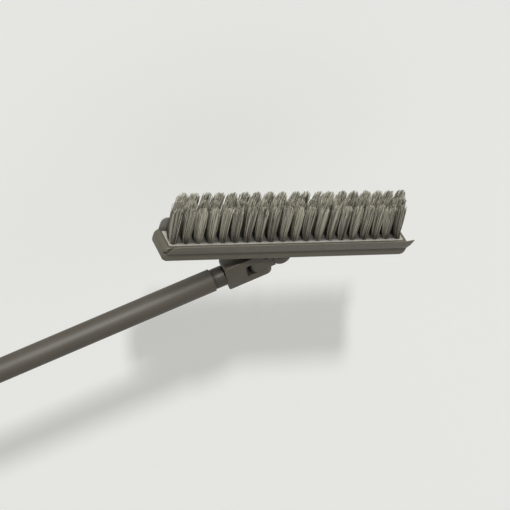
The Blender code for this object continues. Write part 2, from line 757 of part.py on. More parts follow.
def build_swivel_pin(axis, materials):
    """Second pin, sunk flush in the prongs, with a clip at its lower end."""
    seat = fork_half - SWIVEL_HEAD_HEIGHT - SEAT_GAP
    start = -seat - SEAT_GAP
    length = seat - start + SEAT_GAP + CLIP_THICKNESS + EDGE_BREAK
    profile = pin_profile(SWIVEL_PIN_RADIUS, SWIVEL_HEAD_RADIUS, SWIVEL_HEAD_HEIGHT, start, length)
    add_piece("swivel_pin", turned(profile, PIN_SIDES, "Y"), axis, materials["pin"])
    center = (0, 0, 0)
    build_clip("swivel_pin_clip", SWIVEL_PIN_RADIUS, seat + SEAT_GAP, "Y", axis, materials, center)


def build_neck(axis, materials):
    """Stud in the fork, slim neck and plug inside the tube, in one turned piece."""
    neck_start = FORK_BACK + SEAT_GAP
    plug_end = tube_start + PLUG_LENGTH
    profile = [
        (STUD_RADIUS - EDGE_BREAK, FORK_BACK - STUD_LENGTH),
        (STUD_RADIUS, FORK_BACK - STUD_LENGTH + EDGE_BREAK),
        (STUD_RADIUS, neck_start),
        (NECK_RADIUS - EDGE_BREAK, neck_start),
        (NECK_RADIUS, neck_start + EDGE_BREAK),
        (NECK_RADIUS, tube_start),
        (plug_radius, tube_start + SEAT_GAP),
        (plug_radius, plug_end - EDGE_BREAK),
        (plug_radius - EDGE_BREAK, plug_end),
    ]
    return add_piece("neck_insert", turned(profile), axis, materials["insert"])


def build_tube(name, start, axis, materials):
    end = start + TUBE_LENGTH
    outer = [(TUBE_RADIUS, start), (TUBE_RADIUS, end)]
    inner = [(tube_bore, start), (tube_bore, end)]
    return add_piece(name, ring_body(outer, inner), axis, materials["tube"])


def build_spigot(name, tube_end, axis, materials):
    """Plug with a collar and a stud that screws into the next tube's socket."""
    collar_start = tube_end + SEAT_GAP
    collar_end = collar_start + COLLAR_LENGTH
    stud_end = collar_end + SCREW_STUD_LENGTH
    profile = [
        (plug_radius - EDGE_BREAK, tube_end - PLUG_LENGTH),
        (plug_radius, tube_end - PLUG_LENGTH + EDGE_BREAK),
        (plug_radius, collar_start),
        (COLLAR_RADIUS - EDGE_BREAK, collar_start),
        (COLLAR_RADIUS, collar_start + EDGE_BREAK),
        (COLLAR_RADIUS, collar_end - EDGE_BREAK),
        (COLLAR_RADIUS - EDGE_BREAK, collar_end),
        (SCREW_STUD_RADIUS, collar_end),
        (SCREW_STUD_RADIUS, stud_end - EDGE_BREAK),
        (SCREW_STUD_RADIUS - EDGE_BREAK, stud_end),
    ]
    return add_piece(name, turned(profile), axis, materials["insert"])


def build_socket(name, tube_start_x, axis, materials):
    """Collar and hollow plug in the foot of a tube."""
    collar_end = tube_start_x - SEAT_GAP
    collar_start = collar_end - COLLAR_LENGTH
    plug_end = tube_start_x + PLUG_LENGTH
    bore = SCREW_STUD_RADIUS + SEAT_GAP
    outer = [
        (COLLAR_RADIUS - EDGE_BREAK, collar_start),
        (COLLAR_RADIUS, collar_start + EDGE_BREAK),
        (COLLAR_RADIUS, collar_end - EDGE_BREAK),
        (COLLAR_RADIUS - EDGE_BREAK, collar_end),
        (plug_radius, collar_end),
        (plug_radius, plug_end - EDGE_BREAK),
        (plug_radius - EDGE_BREAK, plug_end),
    ]
    inner = [(bore + EDGE_BREAK, collar_start), (bore, collar_start + EDGE_BREAK), (bore, plug_end)]
    return add_piece(name, ring_body(outer, inner), axis, materials["insert"])


def build_grip(start, axis, materials):
    """Ribbed sleeve over the top of the upper tube, flared from a slim mouth."""
    end = start + GRIP_LENGTH
    mouth_share = 0.16
    mouth_length = GRIP_LENGTH * mouth_share
    pitch = (GRIP_LENGTH - 2 * mouth_length) / GRIP_RIBS
    groove = grip_radius - GRIP_GROOVE_DEPTH
    outer = [(GRIP_MOUTH_RADIUS, start), (grip_radius, start + mouth_length)]
    for index in range(GRIP_RIBS):
        rib = start + mouth_length + (index + 0.5) * pitch
        outer += [(grip_radius, rib - pitch / 4), (groove, rib), (grip_radius, rib + pitch / 4)]
    outer += [(grip_radius, end)]
    inner = [(grip_bore, start), (grip_bore, end)]
    return add_piece("grip_sleeve", ring_body(outer, inner), axis, materials["grip"])


def build_end_cap(tube_end, grip_end, axis, materials):
    """Plug and rounded cap, flattened into an eye with the hanging hole."""
    start = grip_end + SEAT_GAP
    end = start + CAP_LENGTH
    profile = [(plug_radius, tube_end - PLUG_LENGTH), (plug_radius, start), (grip_radius, start)]
    shoulder = end - grip_radius + CAP_FLAT_RADIUS
    dome = arc((CAP_FLAT_RADIUS, shoulder), grip_radius - CAP_FLAT_RADIUS, 0, 90, ARC_STEPS)
    profile += dome
    cap = add_piece("end_cap", turned(profile), axis, materials["grip"])
    half_eye = CAP_EYE_THICKNESS / 2
    reach = grip_radius + CUT_OVERRUN
    eye_start = end - CAP_EYE_LENGTH
    ramp = reach - half_eye
    for side, name in ((-1, "upper"), (1, "lower")):
        outline = [
            (eye_start - ramp, side * reach),
            (eye_start, side * half_eye),
            (end + CUT_OVERRUN, side * half_eye),
            (end + CUT_OVERRUN, side * reach),
        ]
        add_helper(f"{name}_eye_cutter", prism(outline, -reach, reach, "Z"), cap)
    hole = circle(HANG_HOLE_RADIUS, PIN_SIDES, (end - HANG_HOLE_MARGIN, 0))
    add_helper("hang_hole_cutter", prism(hole, -reach, reach, "Y"), cap)
    return cap


def build_handle(axis, materials):
    """Tubes, screw joints, grip and cap, one after another along the handle."""
    build_neck(axis, materials)
    start = tube_start
    step = TUBE_LENGTH + 2 * COLLAR_LENGTH + 3 * SEAT_GAP
    names = ("lower", "middle", "upper")
    for index, name in enumerate(names):
        build_tube(f"{name}_tube", start + index * step, axis, materials)
    for index, name in enumerate(names[:-1]):
        tube_end = start + index * step + TUBE_LENGTH
        build_spigot(f"{name}_joint_spigot", tube_end, axis, materials)
        build_socket(f"{name}_joint_socket", start + (index + 1) * step, axis, materials)
    last_end = start + 2 * step + TUBE_LENGTH
    build_grip(last_end - GRIP_LENGTH, axis, materials)
    build_end_cap(last_end, last_end, axis, materials)


def build_head(frame, materials):
    build_head_shell(frame, materials)
    build_plate(frame, materials)
    build_bristle_rows(frame, materials)
    build_lip(frame, materials)
    build_blade(frame, materials)
    build_pivot_base(frame, materials)
    build_base_screw(-1, "base_screw_left", frame, materials)
    build_base_screw(1, "base_screw_right", frame, materials)
    build_tilt_pin(frame, materials)


def main():
    for obj in list(bpy.data.objects):
        bpy.data.objects.remove(obj, do_unlink=True)
    materials = make_materials()
    # The origin is the middle of the head's flat far wall, which lies on the ground.
    towards_tips = Vector((-math.sin(HANDLE_ANGLE), -math.cos(HANDLE_ANGLE), 0.0))
    height = Vector((0.0, 0.0, half_width))
    face_middle = towards_tips * (HEAD_HEIGHT / 2) + height
    head_frame = add_empty("head_frame", face_middle)
    head_frame.rotation_euler = (-math.pi / 2, 0.0, math.pi - HANDLE_ANGLE)
    tilt_axis = add_empty("tilt_axis", face_middle - towards_tips * PIVOT_DROP)
    swivel_axis = add_empty("swivel_axis", (SWIVEL_REACH, 0.0, 0.0), tilt_axis)
    build_head(head_frame, materials)
    build_knuckle(tilt_axis, materials)
    build_fork(swivel_axis, materials)
    build_swivel_pin(swivel_axis, materials)
    build_handle(swivel_axis, materials)


main()
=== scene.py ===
"""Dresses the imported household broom: moulded plastic, coated tubes, bristle filaments and a studio.

Head pieces are modelled in the head's own frame: x along the head, y from the lip side to the blade
side, z towards the bristle tips, with its origin in the middle of the bristle face. Handle pieces
are modelled about the handle's own line, with x counted from the swivel pin. Each piece is then put
in its place in its mesh, so that its object stays at the origin.
"""

import json
import math
import random

import bmesh
import bpy
import numpy as np
from bpy.props import FloatProperty, FloatVectorProperty, IntProperty, PointerProperty
from bpy.types import Operator, Panel, PropertyGroup
from mathutils import Matrix, Vector


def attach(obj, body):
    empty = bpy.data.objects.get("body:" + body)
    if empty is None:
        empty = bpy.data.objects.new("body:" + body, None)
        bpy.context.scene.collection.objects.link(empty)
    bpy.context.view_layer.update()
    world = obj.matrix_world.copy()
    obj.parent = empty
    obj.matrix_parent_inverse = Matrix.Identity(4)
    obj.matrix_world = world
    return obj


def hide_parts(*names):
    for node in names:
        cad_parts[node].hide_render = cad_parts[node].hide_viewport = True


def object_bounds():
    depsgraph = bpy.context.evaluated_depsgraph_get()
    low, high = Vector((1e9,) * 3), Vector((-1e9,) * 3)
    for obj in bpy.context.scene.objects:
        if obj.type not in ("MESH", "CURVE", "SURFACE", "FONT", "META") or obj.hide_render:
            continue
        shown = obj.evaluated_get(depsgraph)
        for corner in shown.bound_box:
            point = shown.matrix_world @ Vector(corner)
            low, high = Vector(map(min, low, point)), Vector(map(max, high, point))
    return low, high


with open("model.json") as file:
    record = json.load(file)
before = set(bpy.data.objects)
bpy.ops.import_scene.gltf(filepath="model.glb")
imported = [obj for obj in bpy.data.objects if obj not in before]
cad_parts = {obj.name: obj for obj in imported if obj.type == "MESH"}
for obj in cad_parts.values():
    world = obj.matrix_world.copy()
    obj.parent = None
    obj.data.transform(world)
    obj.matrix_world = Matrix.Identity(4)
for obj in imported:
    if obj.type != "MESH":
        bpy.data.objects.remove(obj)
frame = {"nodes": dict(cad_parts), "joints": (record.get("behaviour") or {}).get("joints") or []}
cad_low, cad_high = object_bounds()

bl_info = {
    "name": "Household Broom Dressing",
    "version": (1, 0, 0),
    "blender": (4, 5, 0),
    "location": "3D View > Sidebar > Broom",
    "description": "Finishes and fine detail for the household broom",
    "category": "Object",
}

# Places of the head and the handle in the broom's frame
HANDLE_ANGLE = math.radians(29.0)
HEAD_WIDTH = 0.0291
HEAD_HEIGHT = 0.0163
along_head = Vector((-math.cos(HANDLE_ANGLE), math.sin(HANDLE_ANGLE), 0.0))
towards_tips = Vector((-math.sin(HANDLE_ANGLE), -math.cos(HANDLE_ANGLE), 0.0))
downwards = Vector((0.0, 0.0, -1.0))
face_middle = towards_tips * (HEAD_HEIGHT / 2) + Vector((0.0, 0.0, HEAD_WIDTH / 2))
head_axes = Matrix((along_head, downwards, towards_tips)).transposed().to_4x4()
head_place = Matrix.Translation(face_middle) @ head_axes
pivots = {joint["name"]: Vector(joint["pos_m"]) for joint in frame["joints"]}
handle_place = Matrix.Translation(pivots["side_swivel"])

# Strips, in the head's frame
ROW_PITCH = 0.0079
ROW_LENGTH = 0.2398
ROW_PLACES = {"front": -0.0071, "middle": 0.0, "rear": 0.0079}
STRIP_HALF_LENGTH = 0.1255
STRIP_HALF_WIDTH = 0.0112
STRIP_GAP = 0.00004
STRIP_THICKNESS = 0.0027
STRIP_CORNER = 0.0018
STRIP_CORNER_STEPS = 5
STRIP_EDGE = 0.00012
CORNER_REACH = 0.0003
SOCKET_LONG = 0.0032
SOCKET_SHORT = 0.0023
SOCKET_DEPTH = 0.0007
SOCKET_FLOOR_SHARE = 0.90
SOCKET_MOUTH_SHARE = 1.08
SOCKET_SIDES = 20

# Tufts: how each row leans and spreads, its tone, and its painted shade towards the roots and at the row's
# ends
BRISTLE_LENGTH = 0.0452
TUFTS = {"front": 20, "middle": 20, "rear": 19}
TIP_DRIFTS = {"front": 0.0094, "middle": 0.0042, "rear": 0.0003}
TIP_SPLAYS = {"front": -0.0050, "middle": -0.0006, "rear": 0.0022}
ROW_WIDTHS = {"front": 0.96, "middle": 1.07, "rear": 1.12}
DOME_DEPTHS = {"front": 0.0050, "middle": 0.0068, "rear": 0.0068}
ROW_TONES = {"front": 0.53, "middle": 0.48, "rear": 0.45}
# Painted shade: filaments darken towards their roots, as shade falls inside a dense tuft
PAINTED_ROOT_SHADES = {"front": 0.30, "middle": 1.0, "rear": 1.0}
PAINTED_ROOT_SHADE_CURVES = {"front": 1.1, "middle": 0.7, "rear": 0.8}
END_DRAWS = {"front": (0.0005, 0.0035), "middle": (0.0020, 0.0030), "rear": (0.0025, 0.0)}
END_CURVE = 12
# Painted shade on the tufts at a row's ends, which stand open to the side light
PAINTED_END_SHADE = 0.08
CLUMPS = 13
CLUMP_PULL = 0.38
FLARE = 0.56
LEAN_CURVE = 0.75
FILAMENT_SIDES = 5
FILAMENT_CUTS = 3
FILAMENT_TAPER = 0.72
FILAMENT_SMOOTH_ANGLE = math.radians(75.0)

# Scatter of tufts, clumps and filaments
LEAN_SPREAD = 0.0007
SWELL_SPREAD = 0.07
TUFT_TONE_SPREAD = 0.035
CLUMP_TONE_SPREAD = 0.10
CLUMP_CUT_SPREAD = 0.0007
TRIM_SPREAD = 0.4
TONE_SPREAD = 0.36
TIP_SPREAD_LONG = 0.00028
TIP_SPREAD_ACROSS = 0.00024
BOW_SPREAD_LONG = 0.00055
BOW_SPREAD_ACROSS = 0.00035
STRAY_SHARE = 0.10
STRAY_GAIN = 3.2

# Handle, along its own line
FORK_BACK = 0.0384
FORK_HALF_WIDTH = 0.0144
HEEL_RADIUS = 0.0028
HEEL_SIDES = 48
SEAT_GAP = 0.0003
NECK_RADIUS = 0.0098
NECK_LENGTH = 0.0122
NECK_CHAMFER = 0.0007
NECK_LINE_PLACE = 0.0013
NECK_LINE_WIDTH = 0.0009
NECK_LINE_DEPTH = 0.0004
STUD_RADIUS = 0.0062
STUD_LENGTH = 0.0150
TUBE_RADIUS = 0.0110
TUBE_WALL = 0.0006
TUBE_LENGTH = 0.340
PLUG_LENGTH = 0.028
COLLAR_RADIUS = 0.0116
COLLAR_LENGTH = 0.0035
SCREW_STUD_RADIUS = 0.0066
SCREW_STUD_LENGTH = 0.022
THREAD_DEPTH = 0.0005
THREAD_PITCH = 0.0018
GRIP_LENGTH = 0.125
GRIP_RIBS = 9
GRIP_GROOVE_DEPTH = 0.0009
GRIP_MOUTH_RADIUS = 0.0125
GRIP_MOUTH_SHARE = 0.16
tube_start = FORK_BACK + SEAT_GAP + NECK_LENGTH
tube_bore = TUBE_RADIUS - TUBE_WALL
tube_step = TUBE_LENGTH + 2 * COLLAR_LENGTH + 3 * SEAT_GAP
plug_radius = tube_bore - SEAT_GAP
grip_radius = HEAD_WIDTH / 2

# Modelling
MERGE_DISTANCE = 0.000002
FLAT_ANGLE = math.radians(0.6)
SHARP_ANGLE = math.radians(32.0)
SMOOTH_ANGLE = math.radians(38.0)
FACING_UP = 0.9
EDGE_STEPS = 2
TURNING_STEPS = 96
GROOVE_STEPS = 6

# Finishes: the ranges of a noise or mask that a finish makes use of, and what they blend towards
CLOUD_RANGE = (0.3, 0.7)
SPECK_RANGE = (0.62, 0.74)
SCUFF_RANGE = (0.60, 0.72)
SCUFF_SHARE = 0.30
WEAR_COSINES = (0.995, 0.90)
WEAR_BREAKS = (0.38, 0.62)
CUT_TIP_RANGE = (0.93, 1.0)
STREAK_SHARE = 0.10
# Painted shade in crevices: the closeness at which it is darkest, and its dark tone as a share of the colour
PAINTED_SHADE_CLOSED = 0.25
PAINTED_SHADE_TONE = 0.12
OPEN_EDGE_SHARE = 1.3
WORN_TONE = 0.6
WORN_SHARE = 0.22
SCUFFED_SHARE = 0.12
CUT_TIP_SHARE = 0.35
CUT_TIP_BLEND = 0.10
COARSE_SCALE = 0.13
COARSE_SHARE = 0.35
COATED_ROUGH = (0.54, 0.62)
STEEL_ROUGH = (0.26, 0.42)
DUST_COLOUR = (0.55, 0.53, 0.48)
MATERIAL_NAMES = {
    "shell": "shell_plastic",
    "plate": "plate_plastic",
    "strip": "strip_plastic",
    "bristle": "bristle_filament",
    "lip": "lip_rubber",
    "blade": "blade_rubber",
    "joint": "joint_plastic",
    "insert": "insert_plastic",
    "grip": "grip_rubber",
    "pin": "pin_coating",
    "tube": "tube_coating",
    "steel": "plain_steel",
}
# Grain is scale and depth, mottle is scale and contrast, crevice is strength, reach and open share of painted
# shade in crevices
MOULDED_LOOKS = {
    "shell": {"rough": (0.42, 0.58), "grain": (1100.0, 0.000022), "mottle": (45.0, 0.09)},
    "plate": {"rough": (0.45, 0.60), "grain": (1300.0, 0.00002), "wear": 0.5},
    "strip": {
        "rough": (0.45, 0.60), "grain": (1300.0, 0.00002), "wear": 0.5,
        "crevice": (0.88, 0.005, 0.68), "shaded_among_tufts": True,
    },
    "lip": {
        "rough": (0.50, 0.66), "grain": (1500.0, 0.000016), "mottle": (80.0, 0.10), "wear": 0.6,
        "wear_reach": 0.0004, "sheen": 0.05,
    },
    "blade": {"rough": (0.50, 0.68), "grain": (1500.0, 0.000016), "wear": 0.4, "wear_reach": 0.0004},
    # The joint's painted shade darkens its slot and the hollow under the head
    "joint": {
        "rough": (0.36, 0.52), "grain": (1000.0, 0.000018), "mottle": (70.0, 0.08),
        "crevice": (0.95, 0.014, 0.85),
    },
    # The neck's painted shade darkens its top, where the head's shadow falls
    "insert": {
        "rough": (0.42, 0.52), "grain": (1200.0, 0.000012), "wear": 0.3, "specular": 0.35,
        "crevice": (0.8, 0.04, 0.9),
    },
    "grip": {
        "rough": (0.60, 0.78), "grain": (1600.0, 0.00004), "mottle": (50.0, 0.10), "dust": 0.12,
        "sheen": 0.08,
    },
}

# Studio
CAMERA_PLACE = (0.2825, -1.4613, 1.3141)
CAMERA_RIGHT = (-0.9125, 0.1718, 0.3713)
CAMERA_UP = (-0.3885, -0.6486, -0.6545)
CAMERA_LENS = 147.93
SENSOR_WIDTH = 36.0
FLOOR_SIZE = 120.0
FLOOR_GAIN = 1.25
LAMP_PLACE = (0.0, -2.0, 1.0)
SIDE_HEIGHT = math.radians(4.0)
SIDE_TURN = math.radians(-6.0)
SIDE_SOFTNESS = math.radians(34.0)


# Settings

def length_property(name, description, default, low, high):
    return FloatProperty(
        name=name, description=description, default=default, min=low, max=high, unit="LENGTH", precision=5
    )


def angle_property(name, description, degrees, low, high):
    return FloatProperty(
        name=name, description=description, default=math.radians(degrees), min=low, max=high, subtype="ANGLE"
    )


def strength_property(name, description, default, high):
    return FloatProperty(name=name, description=description, default=default, min=0.0, max=high)


def colour_property(name, description, default):
    return FloatVectorProperty(
        name=name, description=description, default=default, min=0.0, max=1.0, subtype="COLOR", size=3
    )


class BroomBristleSettings(PropertyGroup):
    """Filaments of the three rows."""

    filaments: IntProperty(
        name="Filaments", description="Filaments in one tuft", default=96, min=12, max=140
    )
    radius: length_property("Radius", "Radius of one filament", 0.00024, 0.0001, 0.0004)
    base_radius_long: length_property(
        "Tuft base, lengthwise", "Reach of a tuft along the head at the strip", 0.0030, 0.001, 0.0045
    )
    base_radius_across: length_property(
        "Tuft base, across", "Reach of a tuft across the head at the strip", 0.0021, 0.001, 0.003
    )
    tip_radius_long: length_property(
        "Tuft tip, lengthwise", "Reach of a tuft's tips along the head", 0.0055, 0.002, 0.007
    )
    tip_radius_across: length_property(
        "Tuft tip, across", "Reach of a tuft's tips across the head", 0.0038, 0.002, 0.005
    )
    trim: length_property("Trim", "How unevenly the tips are cut", 0.0016, 0.0, 0.004)


class BroomEdgeSettings(PropertyGroup):
    """Rounding of the moulded and turned edges."""

    moulded: length_property("Moulded edge", "Rounding of moulded edges", 0.0003, 0.0, 0.001)
    metal: length_property("Metal edge", "Rounding of metal edges", 0.00012, 0.0, 0.0004)


class BroomColourSettings(PropertyGroup):
    """Colours of the finishes."""

    shell: colour_property("Shell", "Moulded head", (0.087, 0.076, 0.054))
    strip: colour_property("Strip", "Strips that hold the tufts", (0.335, 0.320, 0.284))
    filament_dark: colour_property("Filament, dark", "Darkest filaments", (0.040, 0.036, 0.027))
    filament_light: colour_property("Filament, light", "Lightest filaments", (0.760, 0.720, 0.580))
    lip: colour_property("Lip", "Scraper lip", (0.106, 0.093, 0.067))
    blade: colour_property("Blade", "Squeegee blade", (0.190, 0.182, 0.160))
    joint: colour_property("Joint", "Fork, knuckle and base", (0.058, 0.048, 0.034))
    tube: colour_property("Tube", "Coated tubes", (0.050, 0.042, 0.030))
    insert: colour_property("Insert", "Neck and screw joints", (0.036, 0.030, 0.023))
    grip: colour_property("Grip", "Grip and end cap", (0.050, 0.043, 0.034))
    steel: colour_property("Steel", "Clips and screws", (0.56, 0.55, 0.52))
    pin: colour_property("Pins", "Coated pins of the joint", (0.052, 0.044, 0.034))
    floor: colour_property("Floor", "Floor and background", (0.799, 0.807, 0.769))


class BroomStageSettings(PropertyGroup):
    """Floor and light."""

    floor_drop: length_property("Floor drop", "From the broom's underside to the floor", 0.12, 0.0, 1.0)
    key_height: angle_property("Key height", "Angle of the key light above the floor", 26.0, 0.1, 1.5)
    key_turn: angle_property("Key turn", "Turn of the key light from straight ahead", -9.0, -1.5, 1.5)
    key_softness: angle_property("Key softness", "Angle that the key light fills", 4.0, 0.001, 1.0)
    key_strength: strength_property("Key strength", "Strength of the key light", 2.4, 10.0)
    side_strength: strength_property(
        "Side strength", "Strength of the low light from the bristle side", 1.15, 10.0
    )
    fill_strength: strength_property(
        "Fill strength", "Strength of the even light from all round", 0.40, 5.0
    )
    floor_glow: strength_property(
        "Floor glow", "Share of the floor's own even tone in what the camera sees", 0.27, 1.0
    )
    glow_strength: strength_property("Glow strength", "Strength of the floor's even tone", 1.05, 2.0)


# Hand tools

def deselect_all():
    if bpy.context.mode != "OBJECT":
        bpy.ops.object.mode_set(mode="OBJECT")
    bpy.ops.object.select_all(action="DESELECT")


def take(piece):
    deselect_all()
    piece.select_set(True)
    bpy.context.view_layer.objects.active = piece


def open_mesh(piece):
    take(piece)
    bpy.ops.object.mode_set(mode="EDIT")
    bpy.ops.mesh.select_mode(type="VERT")
    bpy.ops.mesh.select_all(action="SELECT")


def close_mesh():
    bpy.ops.object.mode_set(mode="OBJECT")


def pick(piece, kind, wanted):
    """Selects the vertices, edges or faces of the open mesh that are wanted, and nothing else."""
    bpy.ops.mesh.select_all(action="DESELECT")
    bpy.ops.mesh.select_mode(type={"verts": "VERT", "edges": "EDGE", "faces": "FACE"}[kind])
    mesh = bmesh.from_edit_mesh(piece.data)
    for part in getattr(mesh, kind):
        if wanted(part):
            part.select_set(True)
    mesh.select_flush_mode()
    bmesh.update_edit_mesh(piece.data)


def new_piece(name):
    piece = bpy.context.active_object
    piece.name = name
    piece.data.name = name
    return piece


def clean_normals():
    bpy.ops.mesh.select_all(action="SELECT")
    bpy.ops.mesh.remove_doubles(threshold=MERGE_DISTANCE)
    bpy.ops.mesh.normals_make_consistent(inside=False)


def round_sharp_edges(piece, width):
    if not width:
        return
    take(piece)
    bevel = piece.modifiers.new("edge_rounding", "BEVEL")
    bevel.width = width
    bevel.segments = EDGE_STEPS
    bevel.limit_method = "ANGLE"
    bevel.angle_limit = SHARP_ANGLE
    bevel.use_clamp_overlap = True
    bpy.ops.object.modifier_apply(modifier=bevel.name)


def smooth(piece, angle=SMOOTH_ANGLE):
    take(piece)
    bpy.ops.object.shade_smooth_by_angle(angle=angle)


def settle(piece, place):
    """Moves a piece to its place and leaves that place in its mesh."""
    take(piece)
    piece.matrix_world = place @ piece.matrix_world
    bpy.ops.object.transform_apply()


def join(parts, name):
    deselect_all()
    for part in parts:
        part.select_set(True)
    bpy.context.view_layer.objects.active = parts[0]
    bpy.ops.object.join()
    return new_piece(name)


def cut(piece, cutter):
    take(piece)
    boolean = piece.modifiers.new("cut", "BOOLEAN")
    boolean.operation = "DIFFERENCE"
    boolean.solver = "EXACT"
    boolean.object = cutter
    bpy.ops.object.modifier_apply(modifier=boolean.name)
    bpy.data.objects.remove(cutter, do_unlink=True)


def turn(name, profile, edge):
    """Turns a closed profile of (distance along x, radius) points round the x axis, as on a lathe."""
    deselect_all()
    bpy.ops.mesh.primitive_circle_add(vertices=len(profile), radius=TUBE_RADIUS, fill_type="NOTHING")
    piece = new_piece(name)
    for vertex, (x, radius) in zip(piece.data.vertices, profile):
        vertex.co = (x, 0.0, radius)
    open_mesh(piece)
    bpy.ops.mesh.spin(
        steps=TURNING_STEPS, angle=math.tau, center=(0.0, 0.0, 0.0), axis=(1.0, 0.0, 0.0), use_auto_merge=True
    )
    clean_normals()
    close_mesh()
    round_sharp_edges(piece, edge)
    smooth(piece)
    return piece


def show_mesh(mesh, name):
    piece = bpy.data.objects.new(name, mesh)
    bpy.context.collection.objects.link(piece)
    return piece


def fair_copy(node, name, edge):
    """A copy of a CAD solid with its triangles joined into faces, its edges rounded and smooth curves."""
    piece = show_mesh(frame["nodes"][node].data.copy(), name)
    open_mesh(piece)
    bpy.ops.mesh.customdata_custom_splitnormals_clear()
    bpy.ops.mesh.remove_doubles(threshold=MERGE_DISTANCE)
    bpy.ops.mesh.select_all(action="SELECT")
    bpy.ops.mesh.dissolve_limited(angle_limit=FLAT_ANGLE)
    bpy.ops.mesh.select_all(action="SELECT")
    bpy.ops.mesh.normals_make_consistent(inside=False)
    close_mesh()
    round_sharp_edges(piece, edge)
    smooth(piece)
    return piece


def dress(piece, finish, body, node):
    """Gives a finished piece its material and its body, and hides the CAD node that it stands for."""
    piece.data.materials.clear()
    piece.data.materials.append(finish_of(finish))
    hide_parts(node)
    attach(piece, body)


def dress_copy(node, name, finish, body, edge):
    dress(fair_copy(node, name, edge), finish, body, node)


# Node groups

def add_node(tree, kind, place, inputs=None, **settings):
    node = tree.nodes.new(f"ShaderNode{kind}")
    node.location = place
    for name, value in settings.items():
        setattr(node, name, value)
    for name, value in (inputs or {}).items():
        node.inputs[name].default_value = value
    return node


def add_math(tree, operation, place, inputs=None):
    return add_node(tree, "Math", place, inputs, operation=operation)


def add_range(tree, place, low, high, to_low=0.0, to_high=1.0):
    limits = {"From Min": low, "From Max": high, "To Min": to_low, "To Max": to_high}
    return add_node(tree, "MapRange", place, limits)


def add_blend(tree, place, colour):
    """A mix towards one colour."""
    blend = add_node(tree, "Mix", place, data_type="RGBA")
    blend.inputs["B"].default_value = opaque(colour)
    return blend


def add_group(tree, group, place, inputs):
    return add_node(tree, "Group", place, inputs, node_tree=group)


def wire(tree, *wires):
    """Links nodes. A wire is a node, its output, the node that it runs to and the input there."""
    for source, output, target, socket in wires:
        tree.links.new(source.outputs[output], target.inputs[socket])


def opaque(colour):
    return (*colour, 1.0)


def lighter(colour, share):
    return tuple(channel + (WORN_TONE - channel) * share for channel in colour)


def new_group(name, inputs, outputs):
    """A node group with its input and output nodes, or without them where it is already made."""
    if name in bpy.data.node_groups:
        return bpy.data.node_groups[name], None, None
    group = bpy.data.node_groups.new(name, "ShaderNodeTree")
    for label, kind, value in inputs:
        socket = group.interface.new_socket(name=label, in_out="INPUT", socket_type=f"NodeSocket{kind}")
        socket.default_value = value
    for label, kind in outputs:
        group.interface.new_socket(name=label, in_out="OUTPUT", socket_type=f"NodeSocket{kind}")
    start = group.nodes.new("NodeGroupInput")
    start.location = (-900, 0)
    end = group.nodes.new("NodeGroupOutput")
    end.location = (700, 0)
    return group, start, end


def moulded_grain():
    """Fine pebbled skin of a moulded part: a normal and a value that roughness can follow."""
    group, start, end = new_group(
        "Moulded Grain",
        [("Scale", "Float", 900.0), ("Depth", "Float", 0.00002), ("Stretch", "Vector", (1, 1, 1))],
        [("Normal", "Vector"), ("Value", "Float")],
    )
    if start is None:
        return group
    place = add_node(group, "TexCoord", (-900, 300))
    stretch = add_node(group, "VectorMath", (-650, 200), operation="MULTIPLY")
    fine = add_node(group, "TexNoise", (-400, 250), {"Detail": 3.0, "Roughness": 0.6})
    coarse_scale = add_math(group, "MULTIPLY", (-650, -100), {1: COARSE_SCALE})
    coarse = add_node(group, "TexNoise", (-400, -100), {"Detail": 2.0})
    total = add_node(group, "Mix", (-150, 100), {"Factor": COARSE_SHARE}, data_type="FLOAT")
    bump = add_node(group, "Bump", (300, 200), {"Strength": 1.0})
    wire(
        group,
        (place, "Object", stretch, 0), (start, "Stretch", stretch, 1),
        (stretch, 0, fine, "Vector"), (stretch, 0, coarse, "Vector"),
        (start, "Scale", fine, "Scale"), (start, "Scale", coarse_scale, 0),
        (coarse_scale, 0, coarse, "Scale"),
        (fine, "Fac", total, "A"), (coarse, "Fac", total, "B"),
        (total, "Result", bump, "Height"), (start, "Depth", bump, "Distance"),
        (bump, "Normal", end, "Normal"), (total, "Result", end, "Value"),
    )
    return group


def worn_edges():
    """A mask of the outer edges, broken up as handling wears them."""
    group, start, end = new_group(
        "Worn Edges", [("Reach", "Float", 0.0006), ("Amount", "Float", 0.6)], [("Mask", "Float")]
    )
    if start is None:
        return group
    bevel = add_node(group, "Bevel", (-650, 100), samples=4)
    shape = add_node(group, "NewGeometry", (-650, -100))
    dot = add_node(group, "VectorMath", (-420, 100), operation="DOT_PRODUCT")
    edge = add_range(group, (-200, 100), *WEAR_COSINES)
    place = add_node(group, "TexCoord", (-650, -350))
    noise = add_node(group, "TexNoise", (-420, -300), {"Scale": 420.0, "Detail": 4.0})
    breaks = add_range(group, (-200, -250), *WEAR_BREAKS)
    product = add_math(group, "MULTIPLY", (50, 0))
    scaled = add_math(group, "MULTIPLY", (280, 0))
    wire(
        group,
        (start, "Reach", bevel, "Radius"),
        (bevel, "Normal", dot, 0), (shape, "Normal", dot, 1), (dot, "Value", edge, "Value"),
        (place, "Object", noise, "Vector"), (noise, "Fac", breaks, "Value"),
        (edge, "Result", product, 0), (breaks, "Result", product, 1),
        (product, 0, scaled, 0), (start, "Amount", scaled, 1), (scaled, 0, end, "Mask"),
    )
    return group


